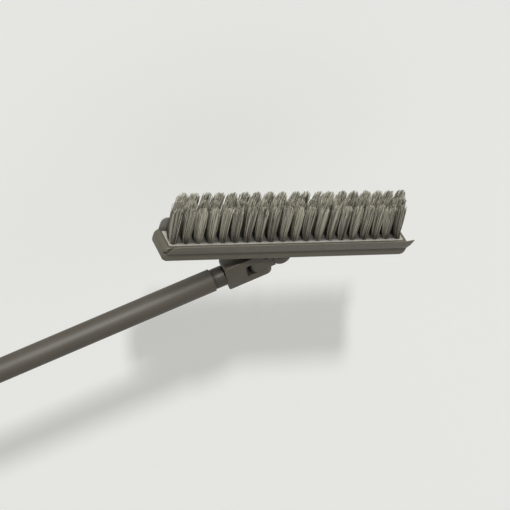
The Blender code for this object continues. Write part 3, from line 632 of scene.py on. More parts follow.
def soft_mottle():
    """Cloudy and dusty variation of a colour, both kept slight."""
    group, start, end = new_group(
        "Soft Mottle",
        [
            ("Scale", "Float", 60.0), ("Contrast", "Float", 0.12), ("Dust", "Float", 0.05),
            ("Color", "Color", (0.1, 0.1, 0.1, 1.0)),
        ],
        [("Color", "Color"), ("Mask", "Float")],
    )
    if start is None:
        return group
    place = add_node(group, "TexCoord", (-900, 300))
    clouds = add_node(group, "TexNoise", (-650, 250), {"Detail": 5.0, "Roughness": 0.55})
    low = add_math(group, "SUBTRACT", (-400, -150), {0: 1.0})
    high = add_math(group, "ADD", (-400, -320), {0: 1.0})
    gain = add_range(group, (-150, 150), *CLOUD_RANGE)
    shade = add_node(group, "VectorMath", (80, 150), operation="SCALE")
    specks = add_node(group, "TexNoise", (-650, -480), {"Scale": 1500.0, "Detail": 1.0})
    speck_mask = add_range(group, (-400, -500), *SPECK_RANGE)
    dust = add_math(group, "MULTIPLY", (-150, -450))
    pale = add_blend(group, (320, 100), DUST_COLOUR)
    wire(
        group,
        (place, "Object", clouds, "Vector"), (start, "Scale", clouds, "Scale"),
        (start, "Contrast", low, 1), (start, "Contrast", high, 1),
        (clouds, "Fac", gain, "Value"), (low, 0, gain, "To Min"), (high, 0, gain, "To Max"),
        (start, "Color", shade, 0), (gain, "Result", shade, "Scale"),
        (place, "Object", specks, "Vector"), (specks, "Fac", speck_mask, "Value"),
        (speck_mask, "Result", dust, 0), (start, "Dust", dust, 1),
        (shade, 0, pale, "A"), (dust, 0, pale, "Factor"),
        (pale, "Result", end, "Color"), (clouds, "Fac", end, "Mask"),
    )
    return group


def painted_crevice_shade():
    """Painted shade: a colour that darkens where other surfaces stand close around it, and by Depth."""
    group, start, end = new_group(
        "Crevice Shade",
        [
            ("Color", "Color", (0.1, 0.1, 0.1, 1.0)), ("Dark", "Color", (0.0, 0.0, 0.0, 1.0)),
            ("Strength", "Float", 0.3), ("Reach", "Float", 0.006), ("Open", "Float", 0.68),
            ("Depth", "Float", 0.0),
        ],
        [("Color", "Color")],
    )
    if start is None:
        return group
    openness = add_node(group, "AmbientOcclusion", (-650, 100), samples=8)
    closed = add_range(group, (-420, 100), PAINTED_SHADE_CLOSED, 1.0, 1.0, 0.0)
    deeper = add_math(group, "MAXIMUM", (-180, 50))
    amount = add_math(group, "MULTIPLY", (60, 0))
    shaded = add_node(group, "Mix", (320, 0), data_type="RGBA")
    wire(
        group,
        (start, "Reach", openness, "Distance"), (start, "Open", closed, "From Max"),
        (openness, "AO", closed, "Value"), (closed, "Result", deeper, 0), (start, "Depth", deeper, 1),
        (deeper, 0, amount, 0), (start, "Strength", amount, 1),
        (start, "Color", shaded, "A"), (start, "Dark", shaded, "B"), (amount, 0, shaded, "Factor"),
        (shaded, "Result", end, "Color"),
    )
    return group


# Finishes

def blank_material(name, looks):
    """A material with only its shader, whose inputs take their values from looks."""
    material = bpy.data.materials.new(name)
    material.use_nodes = True
    tree = material.node_tree
    tree.nodes.clear()
    shader = add_node(tree, "BsdfPrincipled", (500, 0), looks)
    output = add_node(tree, "OutputMaterial", (800, 0))
    wire(tree, (shader, 0, output, "Surface"))
    return material, tree, shader


def add_mottle(tree, place, colour, scale, contrast, dust):
    looks = {"Color": opaque(colour), "Scale": scale, "Contrast": contrast, "Dust": dust}
    return add_group(tree, soft_mottle(), place, looks)


def add_grain(tree, place, scale, depth, stretch=(1.0, 1.0, 1.0)):
    looks = {"Scale": scale, "Depth": depth, "Stretch": stretch}
    return add_group(tree, moulded_grain(), place, looks)


# Painted shade: darkens a colour where other surfaces stand close around it
def add_painted_crevice_shade(tree, colour, strength, reach, open_share):
    dark = opaque(PAINTED_SHADE_TONE * channel for channel in colour)
    looks = {"Dark": dark, "Strength": strength, "Reach": reach, "Open": open_share}
    return add_group(tree, painted_crevice_shade(), (250, 200), looks)


def tuft_shade_mask(tree):
    """Painted shade among the tufts: how deep a point of a strip lies among them, 1 between them, 0 along the
    strip's open edges.
    """
    place = add_node(tree, "Attribute", (-900, 700), attribute_name="strip_place")
    parts = add_node(tree, "SeparateXYZ", (-700, 700))
    reach = add_math(tree, "ABSOLUTE", (-500, 800))
    row_end = ROW_LENGTH / 2
    along = add_range(tree, (-300, 800), row_end, row_end + SOCKET_LONG, 1.0, 0.0)
    first_row = ROW_PLACES["front"]
    across = add_range(tree, (-300, 600), first_row - OPEN_EDGE_SHARE * SOCKET_SHORT, first_row)
    both = add_math(tree, "MULTIPLY", (-100, 700))
    wire(
        tree,
        (place, "Vector", parts, 0), (parts, "X", reach, 0), (reach, 0, along, "Value"),
        (parts, "Y", across, "Value"), (along, "Result", both, 0), (across, "Result", both, 1),
    )
    return both


def moulded_finish(
    name, colour, rough, grain, mottle=(60.0, 0.10), dust=0.05, wear=0.35, wear_reach=0.0006,
    specular=0.5, sheen=0.0, crevice=(0.3, 0.006, 0.68), shaded_among_tufts=False,
):
    """Moulded plastic or rubber: slightly cloudy colour, pebbled skin, dust, paler worn edges and painted
    shade in crevices.
    """
    looks = {"Specular IOR Level": specular, "Sheen Weight": sheen}
    material, tree, shader = blank_material(name, looks)
    clouds = add_mottle(tree, (-500, 200), colour, *mottle, dust)
    skin = add_grain(tree, (-500, -250), *grain)
    edges = add_group(tree, worn_edges(), (-500, -50), {"Reach": wear_reach, "Amount": wear})
    paler = add_blend(tree, (0, 200), lighter(colour, WORN_SHARE))
    painted_shade = add_painted_crevice_shade(tree, colour, *crevice)
    roughness = add_range(tree, (0, -150), *CLOUD_RANGE, *rough)
    if shaded_among_tufts:
        wire(tree, (tuft_shade_mask(tree), 0, painted_shade, "Depth"))
    wire(
        tree,
        (clouds, "Color", paler, "A"), (edges, "Mask", paler, "Factor"),
        (paler, "Result", painted_shade, "Color"), (painted_shade, "Color", shader, "Base Color"),
        (skin, "Value", roughness, "Value"), (roughness, "Result", shader, "Roughness"),
        (skin, "Normal", shader, "Normal"),
    )
    return material


def coated_finish(name, colour):
    """Coating on a steel tube: slight orange peel, faint drawing lines, small scuffs and painted shade where
    other parts stand close over it.
    """
    material, tree, shader = blank_material(name, {"Specular IOR Level": 0.55})
    clouds = add_mottle(tree, (-600, 250), colour, scale=35.0, contrast=0.07, dust=0.03)
    peel = add_grain(tree, (-600, -250), scale=700.0, depth=0.000012, stretch=(0.35, 1.0, 1.0))
    place = add_node(tree, "TexCoord", (-1100, 0))
    lengthwise = add_node(tree, "Mapping", (-900, 0), {"Scale": (14.0, 900.0, 900.0)})
    scuffs = add_node(tree, "TexNoise", (-600, 0), {"Scale": 1.0, "Detail": 3.0, "Roughness": 0.7})
    scuff_mask = add_range(tree, (-350, 0), *SCUFF_RANGE, 0.0, SCUFF_SHARE)
    scuffed = add_blend(tree, (-50, 200), lighter(colour, SCUFFED_SHARE))
    # Painted shade wherever other parts stand close, such as the head's shadow over the tube near the neck
    painted_shade = add_painted_crevice_shade(tree, colour, strength=0.8, reach=0.06, open_share=0.9)
    rough = add_range(tree, (-50, -100), 0.0, SCUFF_SHARE, *COATED_ROUGH)
    wire(
        tree,
        (place, "Object", lengthwise, "Vector"), (lengthwise, "Vector", scuffs, "Vector"),
        (scuffs, "Fac", scuff_mask, "Value"), (clouds, "Color", scuffed, "A"),
        (scuff_mask, "Result", scuffed, "Factor"), (scuffed, "Result", painted_shade, "Color"),
        (painted_shade, "Color", shader, "Base Color"), (scuff_mask, "Result", rough, "Value"),
        (rough, "Result", shader, "Roughness"), (peel, "Normal", shader, "Normal"),
    )
    return material


def filament_finish(name, dark, light):
    """Drawn plastic filament: its own tone with painted shade towards the root, a paler cut tip and fine
    streaks.
    """
    material, tree, shader = blank_material(name, {"Roughness": 0.44})
    tone = add_node(tree, "Attribute", (-900, 250), attribute_name="filament_tone")
    height = add_node(tree, "Attribute", (-900, 0), attribute_name="filament_height")
    place = add_node(tree, "TexCoord", (-900, -250))
    streaks = add_node(tree, "TexNoise", (-650, -200), {"Scale": 2200.0, "Detail": 2.0})
    streak_gain = add_range(tree, (-400, -200), *CLOUD_RANGE, -STREAK_SHARE, STREAK_SHARE)
    blend = add_math(tree, "ADD", (-200, 150))
    colour = add_blend(tree, (0, 200), light)
    colour.inputs["A"].default_value = opaque(dark)
    tip = add_range(tree, (-400, 0), *CUT_TIP_RANGE, 0.0, CUT_TIP_BLEND)
    tipped = add_blend(tree, (220, 150), lighter(light, CUT_TIP_SHARE))
    bump = add_node(tree, "Bump", (200, -250), {"Strength": 0.5, "Distance": 0.00002})
    wire(
        tree,
        (place, "Object", streaks, "Vector"), (streaks, "Fac", streak_gain, "Value"),
        (tone, "Fac", blend, 0), (streak_gain, "Result", blend, 1), (blend, 0, colour, "Factor"),
        (height, "Fac", tip, "Value"), (colour, "Result", tipped, "A"), (tip, "Result", tipped, "Factor"),
        (tipped, "Result", shader, "Base Color"),
        (streaks, "Fac", bump, "Height"), (bump, "Normal", shader, "Normal"),
    )
    return material


def steel_finish(name, colour):
    """Zinc-plated steel: fine turning lines and slightly dull patches."""
    material, tree, shader = blank_material(name, {"Metallic": 1.0})
    clouds = add_mottle(tree, (-500, 200), colour, scale=300.0, contrast=0.12, dust=0.0)
    lines = add_grain(tree, (-500, -200), scale=1800.0, depth=0.000006, stretch=(1.0, 1.0, 0.2))
    rough = add_range(tree, (0, -50), *CLOUD_RANGE, *STEEL_ROUGH)
    wire(
        tree,
        (clouds, "Color", shader, "Base Color"), (clouds, "Mask", rough, "Value"),
        (rough, "Result", shader, "Roughness"), (lines, "Normal", shader, "Normal"),
    )
    return material


def finish_of(finish):
    """The material of one of the finishes, made the first time it is asked for."""
    name = MATERIAL_NAMES[finish]
    if name in bpy.data.materials:
        return bpy.data.materials[name]
    colours = bpy.context.scene.broom_colours
    if finish == "bristle":
        return filament_finish(name, colours.filament_dark, colours.filament_light)
    colour = colours.strip if finish == "plate" else getattr(colours, finish)
    if finish == "steel":
        return steel_finish(name, colour)
    if finish in ("pin", "tube"):
        return coated_finish(name, colour)
    return moulded_finish(name, colour, **MOULDED_LOOKS[finish])


# Head

def tuft_places(count):
    """Even places along the head. A row with a tuft less stands half a pitch in at one end."""
    pitch = ROW_LENGTH / (TUFTS["front"] - 1)
    if count < TUFTS["front"]:
        pitch = (ROW_LENGTH - pitch / 2) / (count - 1)
    return [pitch * (index - (count - 1) / 2) for index in range(count)]


def row_limits(row):
    """The strip's two long edges across the head."""
    inner = ROW_PITCH / 2 - STRIP_GAP / 2
    if row == "middle":
        return -inner, inner
    outer = ROW_PITCH / 2 + STRIP_GAP / 2
    return (-STRIP_HALF_WIDTH, -outer) if row == "front" else (outer, STRIP_HALF_WIDTH)


def round_strip_corners(strip, outer):
    """Rounds the two upright corners on a strip's outer side."""
    def on_corner(vertex):
        past_end = abs(abs(vertex.co.x) - STRIP_HALF_LENGTH)
        return abs(vertex.co.y - outer) < CORNER_REACH and past_end < CORNER_REACH

    open_mesh(strip)
    pick(strip, "edges", lambda edge: all(on_corner(vertex) for vertex in edge.verts))
    bpy.ops.mesh.bevel(offset=STRIP_CORNER, segments=STRIP_CORNER_STEPS, affect="EDGES")
    close_mesh()


def model_strip(row):
    """The strip that holds a row: a moulded bar with rounded corners and a dished socket per tuft."""
    low, high = row_limits(row)
    deselect_all()
    bpy.ops.mesh.primitive_cube_add(size=1.0, location=(0.0, (low + high) / 2, -STRIP_THICKNESS / 2))
    strip = new_piece(f"{row}_row_strip")
    strip.scale = (2 * STRIP_HALF_LENGTH, high - low, STRIP_THICKNESS)
    bpy.ops.object.transform_apply()
    if row != "middle":
        round_strip_corners(strip, low if row == "front" else high)
    open_mesh(strip)
    pick(strip, "faces", lambda face: face.normal.z > FACING_UP)
    bpy.ops.mesh.bevel(offset=STRIP_EDGE, segments=EDGE_STEPS, affect="EDGES")
    close_mesh()
    sockets = []
    for x in tuft_places(TUFTS[row]):
        bpy.ops.mesh.primitive_cone_add(
            vertices=SOCKET_SIDES, radius1=SOCKET_LONG * SOCKET_FLOOR_SHARE,
            radius2=SOCKET_LONG * SOCKET_MOUTH_SHARE, depth=2 * SOCKET_DEPTH,
            location=(x, ROW_PLACES[row], 0.0), scale=(1.0, SOCKET_SHORT / SOCKET_LONG, 1.0),
        )
        sockets.append(bpy.context.active_object)
    cut(strip, join(sockets, "socket_cutter"))
    smooth(strip)
    places = strip.data.attributes.new("strip_place", "FLOAT_VECTOR", "POINT")
    places.data.foreach_set("vector", [value for vertex in strip.data.vertices for value in vertex.co])
    return strip


def model_filament(radius):
    """One filament, upright and 1 m long, with a tapered tip: the pattern that every other copies."""
    deselect_all()
    bpy.ops.mesh.primitive_cylinder_add(
        vertices=FILAMENT_SIDES, radius=radius, depth=1.0, location=(0.0, 0.0, 0.5), end_fill_type="NGON"
    )
    filament = new_piece("filament_pattern")
    bpy.ops.object.transform_apply()
    open_mesh(filament)
    pick(filament, "edges", lambda edge: abs(edge.verts[0].co.z - edge.verts[1].co.z) > 0.5)
    bpy.ops.mesh.subdivide(number_cuts=FILAMENT_CUTS)
    pick(filament, "faces", lambda face: face.normal.z > FACING_UP)
    bpy.ops.transform.resize(value=(FILAMENT_TAPER, FILAMENT_TAPER, 1.0))
    close_mesh()
    return filament


def sunflower(count, turn_start):
    """Evenly spread places in a disc of radius 1."""
    golden = math.pi * (3 - math.sqrt(5))
    places = []
    for index in range(count):
        reach = math.sqrt((index + 0.5) / count)
        angle = turn_start + index * golden
        places.append(Vector((reach * math.cos(angle), reach * math.sin(angle))))
    return places


def plan_tuft(x, row, settings, dice):
    """Root, top, foot, tip, bow and tone of a tuft's filaments, which cling together in clumps; the tone
    holds painted shade at the row's ends.
    """
    middle = ROW_PLACES[row]
    lean = dice.gauss(0.0, LEAN_SPREAD)
    swell = 1 + SWELL_SPREAD * dice.uniform(-1, 1)
    end_share = abs(2 * x / ROW_LENGTH) ** END_CURVE
    left, right = END_DRAWS[row]
    # A tuft's own random tone, less painted shade towards the row's ends
    shade = dice.gauss(0.0, TUFT_TONE_SPREAD) - PAINTED_END_SHADE * end_share
    lean += left * end_share if x < 0 else -right * end_share
    clumps = [
        (place, dice.gauss(0.0, CLUMP_TONE_SPREAD), dice.gauss(0.0, CLUMP_CUT_SPREAD))
        for place in sunflower(CLUMPS, math.tau * dice.random())
    ]
    tip_long = settings.tip_radius_long * ROW_WIDTHS[row] * swell
    tip_across = settings.tip_radius_across * swell
    root = (x, middle, -SOCKET_DEPTH)
    plans = []
    for unit in sunflower(settings.filaments, math.tau * dice.random()):
        place, clump_tone, clump_cut = min(clumps, key=lambda clump: (clump[0] - unit).length)
        gathered = unit.lerp(place, CLUMP_PULL)
        stray = STRAY_GAIN if dice.random() < STRAY_SHARE else 1.0
        trimmed = settings.trim * abs(dice.gauss(0.0, TRIM_SPREAD)) + abs(clump_cut)
        height = BRISTLE_LENGTH - trimmed - DOME_DEPTHS[row] * unit.length**3
        top = (x - TIP_DRIFTS[row] + lean, middle + TIP_SPLAYS[row], height)
        foot = (unit.x * settings.base_radius_long, unit.y * settings.base_radius_across)
        tip = (
            gathered.x * tip_long + dice.gauss(0.0, TIP_SPREAD_LONG) * stray,
            gathered.y * tip_across + dice.gauss(0.0, TIP_SPREAD_ACROSS) * stray,
        )
        bow = (dice.gauss(0.0, BOW_SPREAD_LONG), dice.gauss(0.0, BOW_SPREAD_ACROSS))
        tone = ROW_TONES[row] + shade + clump_tone + dice.gauss(0.0, TONE_SPREAD)
        plans.append((root, top, foot, tip, bow, min(1.0, max(0.0, tone))))
    return plans


def model_filaments(row, settings):
    """A row's tufts: every filament is the pattern, set from its own foot to its tip."""
    pattern = model_filament(settings.radius)
    unit = np.array([vertex.co for vertex in pattern.data.vertices])
    faces = [tuple(face.vertices) for face in pattern.data.polygons]
    bpy.data.objects.remove(pattern, do_unlink=True)
    dice = random.Random(f"{row} filaments")
    plans = [plan for x in tuft_places(TUFTS[row]) for plan in plan_tuft(x, row, settings, dice)]
    roots, tops, feet, tips, bows = (
        np.array([plan[part] for plan in plans])[:, None, :] for part in range(5)
    )
    share = unit[None, :, 2:3]
    leant = share**LEAN_CURVE
    spots = roots + (tops - roots) * np.concatenate([leant, leant, share], axis=2)
    spread = feet + (tips - feet) * share**FLARE
    spots[:, :, :2] += spread + bows * 4 * share * (1 - share) + unit[None, :, :2]
    starts = range(0, len(plans) * len(unit), len(unit))
    every_face = [tuple(index + start for index in face) for start in starts for face in faces]
    mesh = bpy.data.meshes.new(f"{row}_row_filaments")
    mesh.from_pydata(spots.reshape(-1, 3).tolist(), [], every_face)
    # Painted shade: each filament darkens towards its root
    painted_root_shade = 1 - PAINTED_ROOT_SHADES[row] * (1 - unit[:, 2]) ** PAINTED_ROOT_SHADE_CURVES[row]
    for name, values in (
        ("filament_tone", np.outer([plan[5] for plan in plans], painted_root_shade).ravel()),
        ("filament_height", np.tile(unit[:, 2], len(plans))),
    ):
        attribute = mesh.attributes.new(name, "FLOAT", "POINT")
        attribute.data.foreach_set("value", values.astype(np.float32))
    mesh.update()
    piece = show_mesh(mesh, f"{row}_row_filaments")
    smooth(piece, FILAMENT_SMOOTH_ANGLE)
    return piece


class BROOM_OT_head_shell(Operator):
    """Dress the moulded head and its carrier plate"""

    bl_idname = "broom.head_shell"
    bl_label = "Head shell"

    def execute(self, context):
        dress_copy("head_shell", "moulded_head", "shell", "head", context.scene.broom_edges.moulded)
        plate = frame["nodes"]["bristle_plate"].data
        plate.materials.clear()
        plate.materials.append(finish_of("plate"))
        return {"FINISHED"}


class BROOM_OT_bristle_rows(Operator):
    """Model the three strips and their tufts of filaments"""

    bl_idname = "broom.bristle_rows"
    bl_label = "Bristle rows"

    def execute(self, context):
        for row in TUFTS:
            strip = model_strip(row)
            settle(strip, head_place)
            dress(strip, "strip", "head", f"{row}_bristle_row")
            filaments = model_filaments(row, context.scene.broom_bristles)
            settle(filaments, head_place)
            dress(filaments, "bristle", "head", f"{row}_bristle_row")
        return {"FINISHED"}


class BROOM_OT_lip_and_blade(Operator):
    """Dress the scraper lip and the squeegee blade"""

    bl_idname = "broom.lip_and_blade"
    bl_label = "Lip and blade"

    def execute(self, context):
        edge = context.scene.broom_edges.moulded / 2
        dress_copy("front_scraper_lip", "scraper_lip", "lip", "head", edge)
        dress_copy("rear_squeegee_blade", "squeegee_blade", "blade", "head", edge)
        return {"FINISHED"}


def round_heels(fork):
    """Rounds the fork's two corners on the handle's side."""
    for side in (-1, 1):
        x, y = FORK_BACK - HEEL_RADIUS, side * (FORK_HALF_WIDTH - HEEL_RADIUS)
        deselect_all()
        bpy.ops.mesh.primitive_cube_add(
            size=2 * HEEL_RADIUS, location=(x + HEEL_RADIUS, y + side * HEEL_RADIUS, 0.0),
            scale=(1.0, 1.0, HEAD_WIDTH / HEEL_RADIUS / 2),
        )
        heel = new_piece("heel_cutter")
        bpy.ops.mesh.primitive_cylinder_add(
            vertices=HEEL_SIDES, radius=HEEL_RADIUS, depth=2 * HEAD_WIDTH, location=(x, y, 0.0)
        )
        cut(heel, new_piece("heel_round"))
        settle(heel, handle_place)
        cut(fork, heel)


class BROOM_OT_joint(Operator):
    """Dress the base, the knuckle and the fork of the two-way joint"""

    bl_idname = "broom.joint"
    bl_label = "Two-way joint"

    def execute(self, context):
        for node, name, body in (
            ("pivot_base", "joint_base", "head"),
            ("swivel_knuckle", "joint_knuckle", "knuckle"),
            ("yoke_fork", "joint_fork", "handle"),
        ):
            piece = fair_copy(node, name, 0.0)
            if node == "yoke_fork":
                round_heels(piece)
            round_sharp_edges(piece, context.scene.broom_edges.moulded)
            smooth(piece)
            dress(piece, "joint", body, node)
        return {"FINISHED"}


class BROOM_OT_fasteners(Operator):
    """Dress the pins, their clips and the base screws"""

    bl_idname = "broom.fasteners"
    bl_label = "Pins, clips and screws"

    def execute(self, context):
        for node, body, finish in (
            ("base_screw_left", "head", "steel"),
            ("base_screw_right", "head", "steel"),
            ("tilt_pin", "head", "pin"),
            ("tilt_pin_clip", "head", "steel"),
            ("swivel_pin", "handle", "pin"),
            ("swivel_pin_clip", "handle", "steel"),
        ):
            dress_copy(node, f"{finish}_{node}", finish, body, context.scene.broom_edges.metal)
        return {"FINISHED"}


# Handle

def thread(start, end, radius):
    """Profile points of a row of thread crests, from start to end."""
    points = []
    for index in range(int((end - start) / THREAD_PITCH)):
        x = start + (index + 0.5) * THREAD_PITCH
        points += [(x - THREAD_PITCH / 4, radius - THREAD_DEPTH), (x + THREAD_PITCH / 4, radius)]
    return points


def groove(middle, radius, width, depth):
    """Profile points of a round-bottomed groove."""
    points = []
    for step in range(GROOVE_STEPS + 1):
        turned = step / GROOVE_STEPS
        points.append((middle + width * (turned - 0.5), radius - depth * math.sin(math.pi * turned)))
    return points


def tube_begin(index):
    return tube_start + index * tube_step


def turn_handle_piece(name, profile, finish, node, edge):
    """Turns a piece on the handle's line, sets it in its place and dresses it."""
    piece = turn(name, profile, edge)
    settle(piece, handle_place)
    dress(piece, finish, "handle", node)


class BROOM_OT_handle(Operator):
    """Model the neck, the three coated tubes and their screw joints"""

    bl_idname = "broom.handle"
    bl_label = "Neck, tubes and screw joints"

    def execute(self, context):
        edge = context.scene.broom_edges.metal
        self.model_neck(edge)
        for index, name in enumerate(("lower", "middle", "upper")):
            self.model_tube(index, name, edge)
        for index, name in enumerate(("lower", "middle")):
            self.model_spigot(index, name, edge)
            self.model_socket(index, name, edge)
        return {"FINISHED"}

    def model_neck(self, edge):
        neck_start = FORK_BACK + SEAT_GAP
        neck_end = tube_start - SEAT_GAP
        stud_start = FORK_BACK - STUD_LENGTH
        plug_end = tube_start + PLUG_LENGTH
        profile = [(stud_start, 0.0), (stud_start, STUD_RADIUS), (neck_start, STUD_RADIUS)]
        profile += [(neck_start, NECK_RADIUS - NECK_CHAMFER), (neck_start + NECK_CHAMFER, NECK_RADIUS)]
        profile += groove(neck_end - NECK_LINE_PLACE, NECK_RADIUS, NECK_LINE_WIDTH, NECK_LINE_DEPTH)
        profile += [(neck_end, NECK_RADIUS), (tube_start, plug_radius), (plug_end, plug_radius)]
        profile += [(plug_end, 0.0)]
        turn_handle_piece("slim_neck", profile, "insert", "neck_insert", 2 * edge)

    def model_tube(self, index, name, edge):
        start = tube_begin(index)
        end = start + TUBE_LENGTH
        profile = [(start, tube_bore), (start, TUBE_RADIUS), (end, TUBE_RADIUS), (end, tube_bore)]
        turn_handle_piece(f"coated_{name}_tube", profile, "tube", f"{name}_tube", edge)

    def model_spigot(self, index, name, edge):
        tube_end = tube_begin(index) + TUBE_LENGTH
        collar = tube_end + SEAT_GAP
        collar_end = collar + COLLAR_LENGTH
        stud_end = collar_end + SCREW_STUD_LENGTH
        plug = tube_end - PLUG_LENGTH
        profile = [(plug, 0.0), (plug, plug_radius), (collar, plug_radius), (collar, COLLAR_RADIUS)]
        profile += [(collar_end, COLLAR_RADIUS), (collar_end, SCREW_STUD_RADIUS - THREAD_DEPTH)]
        profile += thread(collar_end, stud_end, SCREW_STUD_RADIUS)
        profile += [(stud_end, SCREW_STUD_RADIUS - THREAD_DEPTH), (stud_end, 0.0)]
        turn_handle_piece(f"{name}_screw_spigot", profile, "insert", f"{name}_joint_spigot", edge)

    def model_socket(self, index, name, edge):
        next_start = tube_begin(index + 1)
        collar_end = next_start - SEAT_GAP
        collar = collar_end - COLLAR_LENGTH
        plug_end = next_start + PLUG_LENGTH
        bore = SCREW_STUD_RADIUS + SEAT_GAP
        profile = [(collar, bore), (collar, COLLAR_RADIUS), (collar_end, COLLAR_RADIUS)]
        profile += [(collar_end, plug_radius), (plug_end, plug_radius), (plug_end, bore)]
        turn_handle_piece(f"{name}_screw_socket", profile, "insert", f"{name}_joint_socket", edge)


class BROOM_OT_grip(Operator):
    """Model the ribbed grip sleeve and dress the end cap"""

    bl_idname = "broom.grip"
    bl_label = "Grip and end cap"

    def execute(self, context):
        edge = context.scene.broom_edges.moulded
        end = tube_begin(2) + TUBE_LENGTH
        start = end - GRIP_LENGTH
        mouth = GRIP_LENGTH * GRIP_MOUTH_SHARE
        pitch = (GRIP_LENGTH - 2 * mouth) / GRIP_RIBS
        bore = TUBE_RADIUS + SEAT_GAP
        profile = [(start, bore), (start, GRIP_MOUTH_RADIUS), (start + mouth, grip_radius)]
        for index in range(GRIP_RIBS):
            rib = start + mouth + (index + 0.5) * pitch
            for step in range(GROOVE_STEPS + 1):
                turned = step / GROOVE_STEPS
                depth = GRIP_GROOVE_DEPTH * (1 - math.cos(math.tau * turned)) / 2
                profile.append((rib + pitch * (turned - 0.5) / 2, grip_radius - depth))
        profile += [(end, grip_radius), (end, bore)]
        turn_handle_piece("ribbed_grip", profile, "grip", "grip_sleeve", edge)
        dress_copy("end_cap", "rounded_end_cap", "grip", "handle", edge)
        return {"FINISHED"}


# Stage

def seen_rays(tree, place):
    """One for what the camera sees, straight or in a gloss or through glass, and zero for other rays."""
    path = add_node(tree, "LightPath", place)
    gloss = add_math(tree, "MAXIMUM", (place[0] + 200, place[1]))
    glass = add_math(tree, "MAXIMUM", (place[0] + 400, place[1]))
    wire(
        tree,
        (path, "Is Camera Ray", gloss, 0), (path, "Is Glossy Ray", gloss, 1),
        (gloss, 0, glass, 0), (path, "Is Transmission Ray", glass, 1),
    )
    return glass


def stage_material(colour, settings):
    """Matte floor that takes the shadow, mixed with an even tone where the camera sees it."""
    base = opaque(min(1.0, FLOOR_GAIN * channel) for channel in colour)
    looks = {"Base Color": base, "Roughness": 0.95, "Specular IOR Level": 0.0}
    material, tree, shader = blank_material("studio_floor", looks)
    glow = add_node(
        tree, "Emission", (500, -300), {"Color": opaque(colour), "Strength": settings.glow_strength}
    )
    share = add_math(tree, "MULTIPLY", (500, 300), {1: settings.floor_glow})
    mix = add_node(tree, "MixShader", (750, 100))
    output = tree.nodes["Material Output"]
    output.location.x = 1000
    wire(
        tree,
        (seen_rays(tree, (-100, 350)), 0, share, 0), (share, 0, mix, "Fac"),
        (shader, 0, mix, 1), (glow, 0, mix, 2), (mix, 0, output, "Surface"),
    )
    return material


def add_sun(name, height, turn, strength, softness):
    deselect_all()
    bpy.ops.object.light_add(type="SUN", location=LAMP_PLACE)
    light = bpy.context.active_object
    light.name = name
    light.data.energy = strength
    light.data.angle = softness
    light.rotation_euler = (math.pi / 2 - height, 0.0, turn)


def light_world(fill, background):
    """Even light from all round, and the plain background where the camera or a gloss sees past the floor."""
    world = bpy.data.worlds.new("studio")
    bpy.context.scene.world = world
    world.use_nodes = True
    tree = world.node_tree
    tree.nodes.clear()
    light = add_node(tree, "Background", (0, 150), {"Color": (1, 1, 1, 1), "Strength": fill})
    seen = add_node(tree, "Background", (0, -50), {"Color": opaque(background), "Strength": 1.0})
    mix = add_node(tree, "MixShader", (250, 100))
    output = add_node(tree, "OutputWorld", (500, 100))
    wire(
        tree,
        (seen_rays(tree, (-500, 350)), 0, mix, "Fac"), (light, 0, mix, 1), (seen, 0, mix, 2),
        (mix, 0, output, "Surface"),
    )


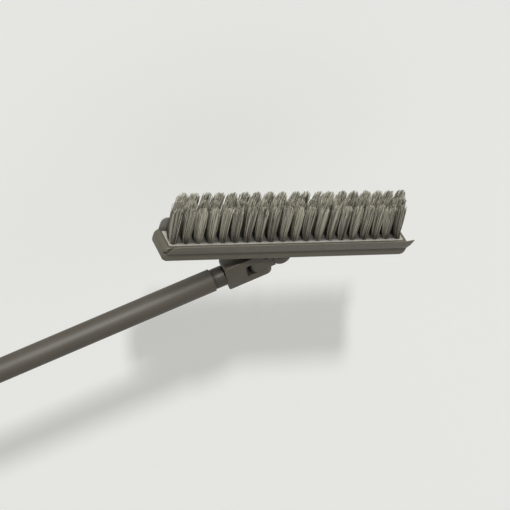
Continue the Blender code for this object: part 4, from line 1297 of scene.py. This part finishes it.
class BROOM_OT_stage(Operator):
    """Set out the pale floor, the soft light and the camera"""

    bl_idname = "broom.stage"
    bl_label = "Stage"

    def execute(self, context):
        settings = context.scene.broom_stage
        colour = context.scene.broom_colours.floor
        deselect_all()
        floor_height = cad_low.z - settings.floor_drop
        bpy.ops.mesh.primitive_plane_add(size=FLOOR_SIZE, location=(0.0, 0.0, floor_height))
        floor = new_piece("studio_floor")
        floor.data.materials.append(stage_material(colour, settings))
        light_world(settings.fill_strength, colour)
        add_sun(
            "key_light", settings.key_height, settings.key_turn, settings.key_strength, settings.key_softness
        )
        add_sun("side_light", SIDE_HEIGHT, SIDE_TURN, settings.side_strength, SIDE_SOFTNESS)
        self.set_camera(context.scene)
        context.scene.view_settings.view_transform = "Standard"
        return {"FINISHED"}

    def set_camera(self, scene):
        right = Vector(CAMERA_RIGHT).normalized()
        back = right.cross(Vector(CAMERA_UP)).normalized()
        axes = Matrix((right, back.cross(right), back)).transposed().to_4x4()
        deselect_all()
        bpy.ops.object.camera_add()
        camera = bpy.context.active_object
        camera.name = "photo_camera"
        camera.matrix_world = Matrix.Translation(CAMERA_PLACE) @ axes
        camera.data.lens = CAMERA_LENS
        camera.data.sensor_width = SENSOR_WIDTH
        camera.data.clip_end = FLOOR_SIZE
        scene.camera = camera


class BROOM_PT_sidebar(Panel):
    """Lists the broom's settings and steps"""

    bl_idname = "BROOM_PT_sidebar"
    bl_label = "Household Broom"
    bl_space_type = "VIEW_3D"
    bl_region_type = "UI"
    bl_category = "Broom"

    def draw(self, context):
        for settings in SETTINGS:
            group = getattr(context.scene, settings)
            box = self.layout.box()
            for name in group.__annotations__:
                box.prop(group, name)
        for step in STEPS:
            self.layout.operator(step.bl_idname)


STEPS = (
    BROOM_OT_head_shell,
    BROOM_OT_bristle_rows,
    BROOM_OT_lip_and_blade,
    BROOM_OT_joint,
    BROOM_OT_fasteners,
    BROOM_OT_handle,
    BROOM_OT_grip,
    BROOM_OT_stage,
)
SETTINGS = {
    "broom_bristles": BroomBristleSettings,
    "broom_edges": BroomEdgeSettings,
    "broom_colours": BroomColourSettings,
    "broom_stage": BroomStageSettings,
}


def register():
    for group in SETTINGS.values():
        bpy.utils.register_class(group)
    for step in STEPS:
        bpy.utils.register_class(step)
    bpy.utils.register_class(BROOM_PT_sidebar)
    for name, group in SETTINGS.items():
        setattr(bpy.types.Scene, name, PointerProperty(type=group))


def unregister():
    for name in SETTINGS:
        delattr(bpy.types.Scene, name)
    bpy.utils.unregister_class(BROOM_PT_sidebar)
    for step in reversed(STEPS):
        bpy.utils.unregister_class(step)
    for group in reversed(SETTINGS.values()):
        bpy.utils.unregister_class(group)


def main():
    register()
    bpy.ops.broom.head_shell()
    bpy.ops.broom.bristle_rows()
    bpy.ops.broom.lip_and_blade()
    bpy.ops.broom.joint()
    bpy.ops.broom.fasteners()
    bpy.ops.broom.handle()
    bpy.ops.broom.grip()
    bpy.ops.broom.stage()


if __name__ == "__main__":
    main()
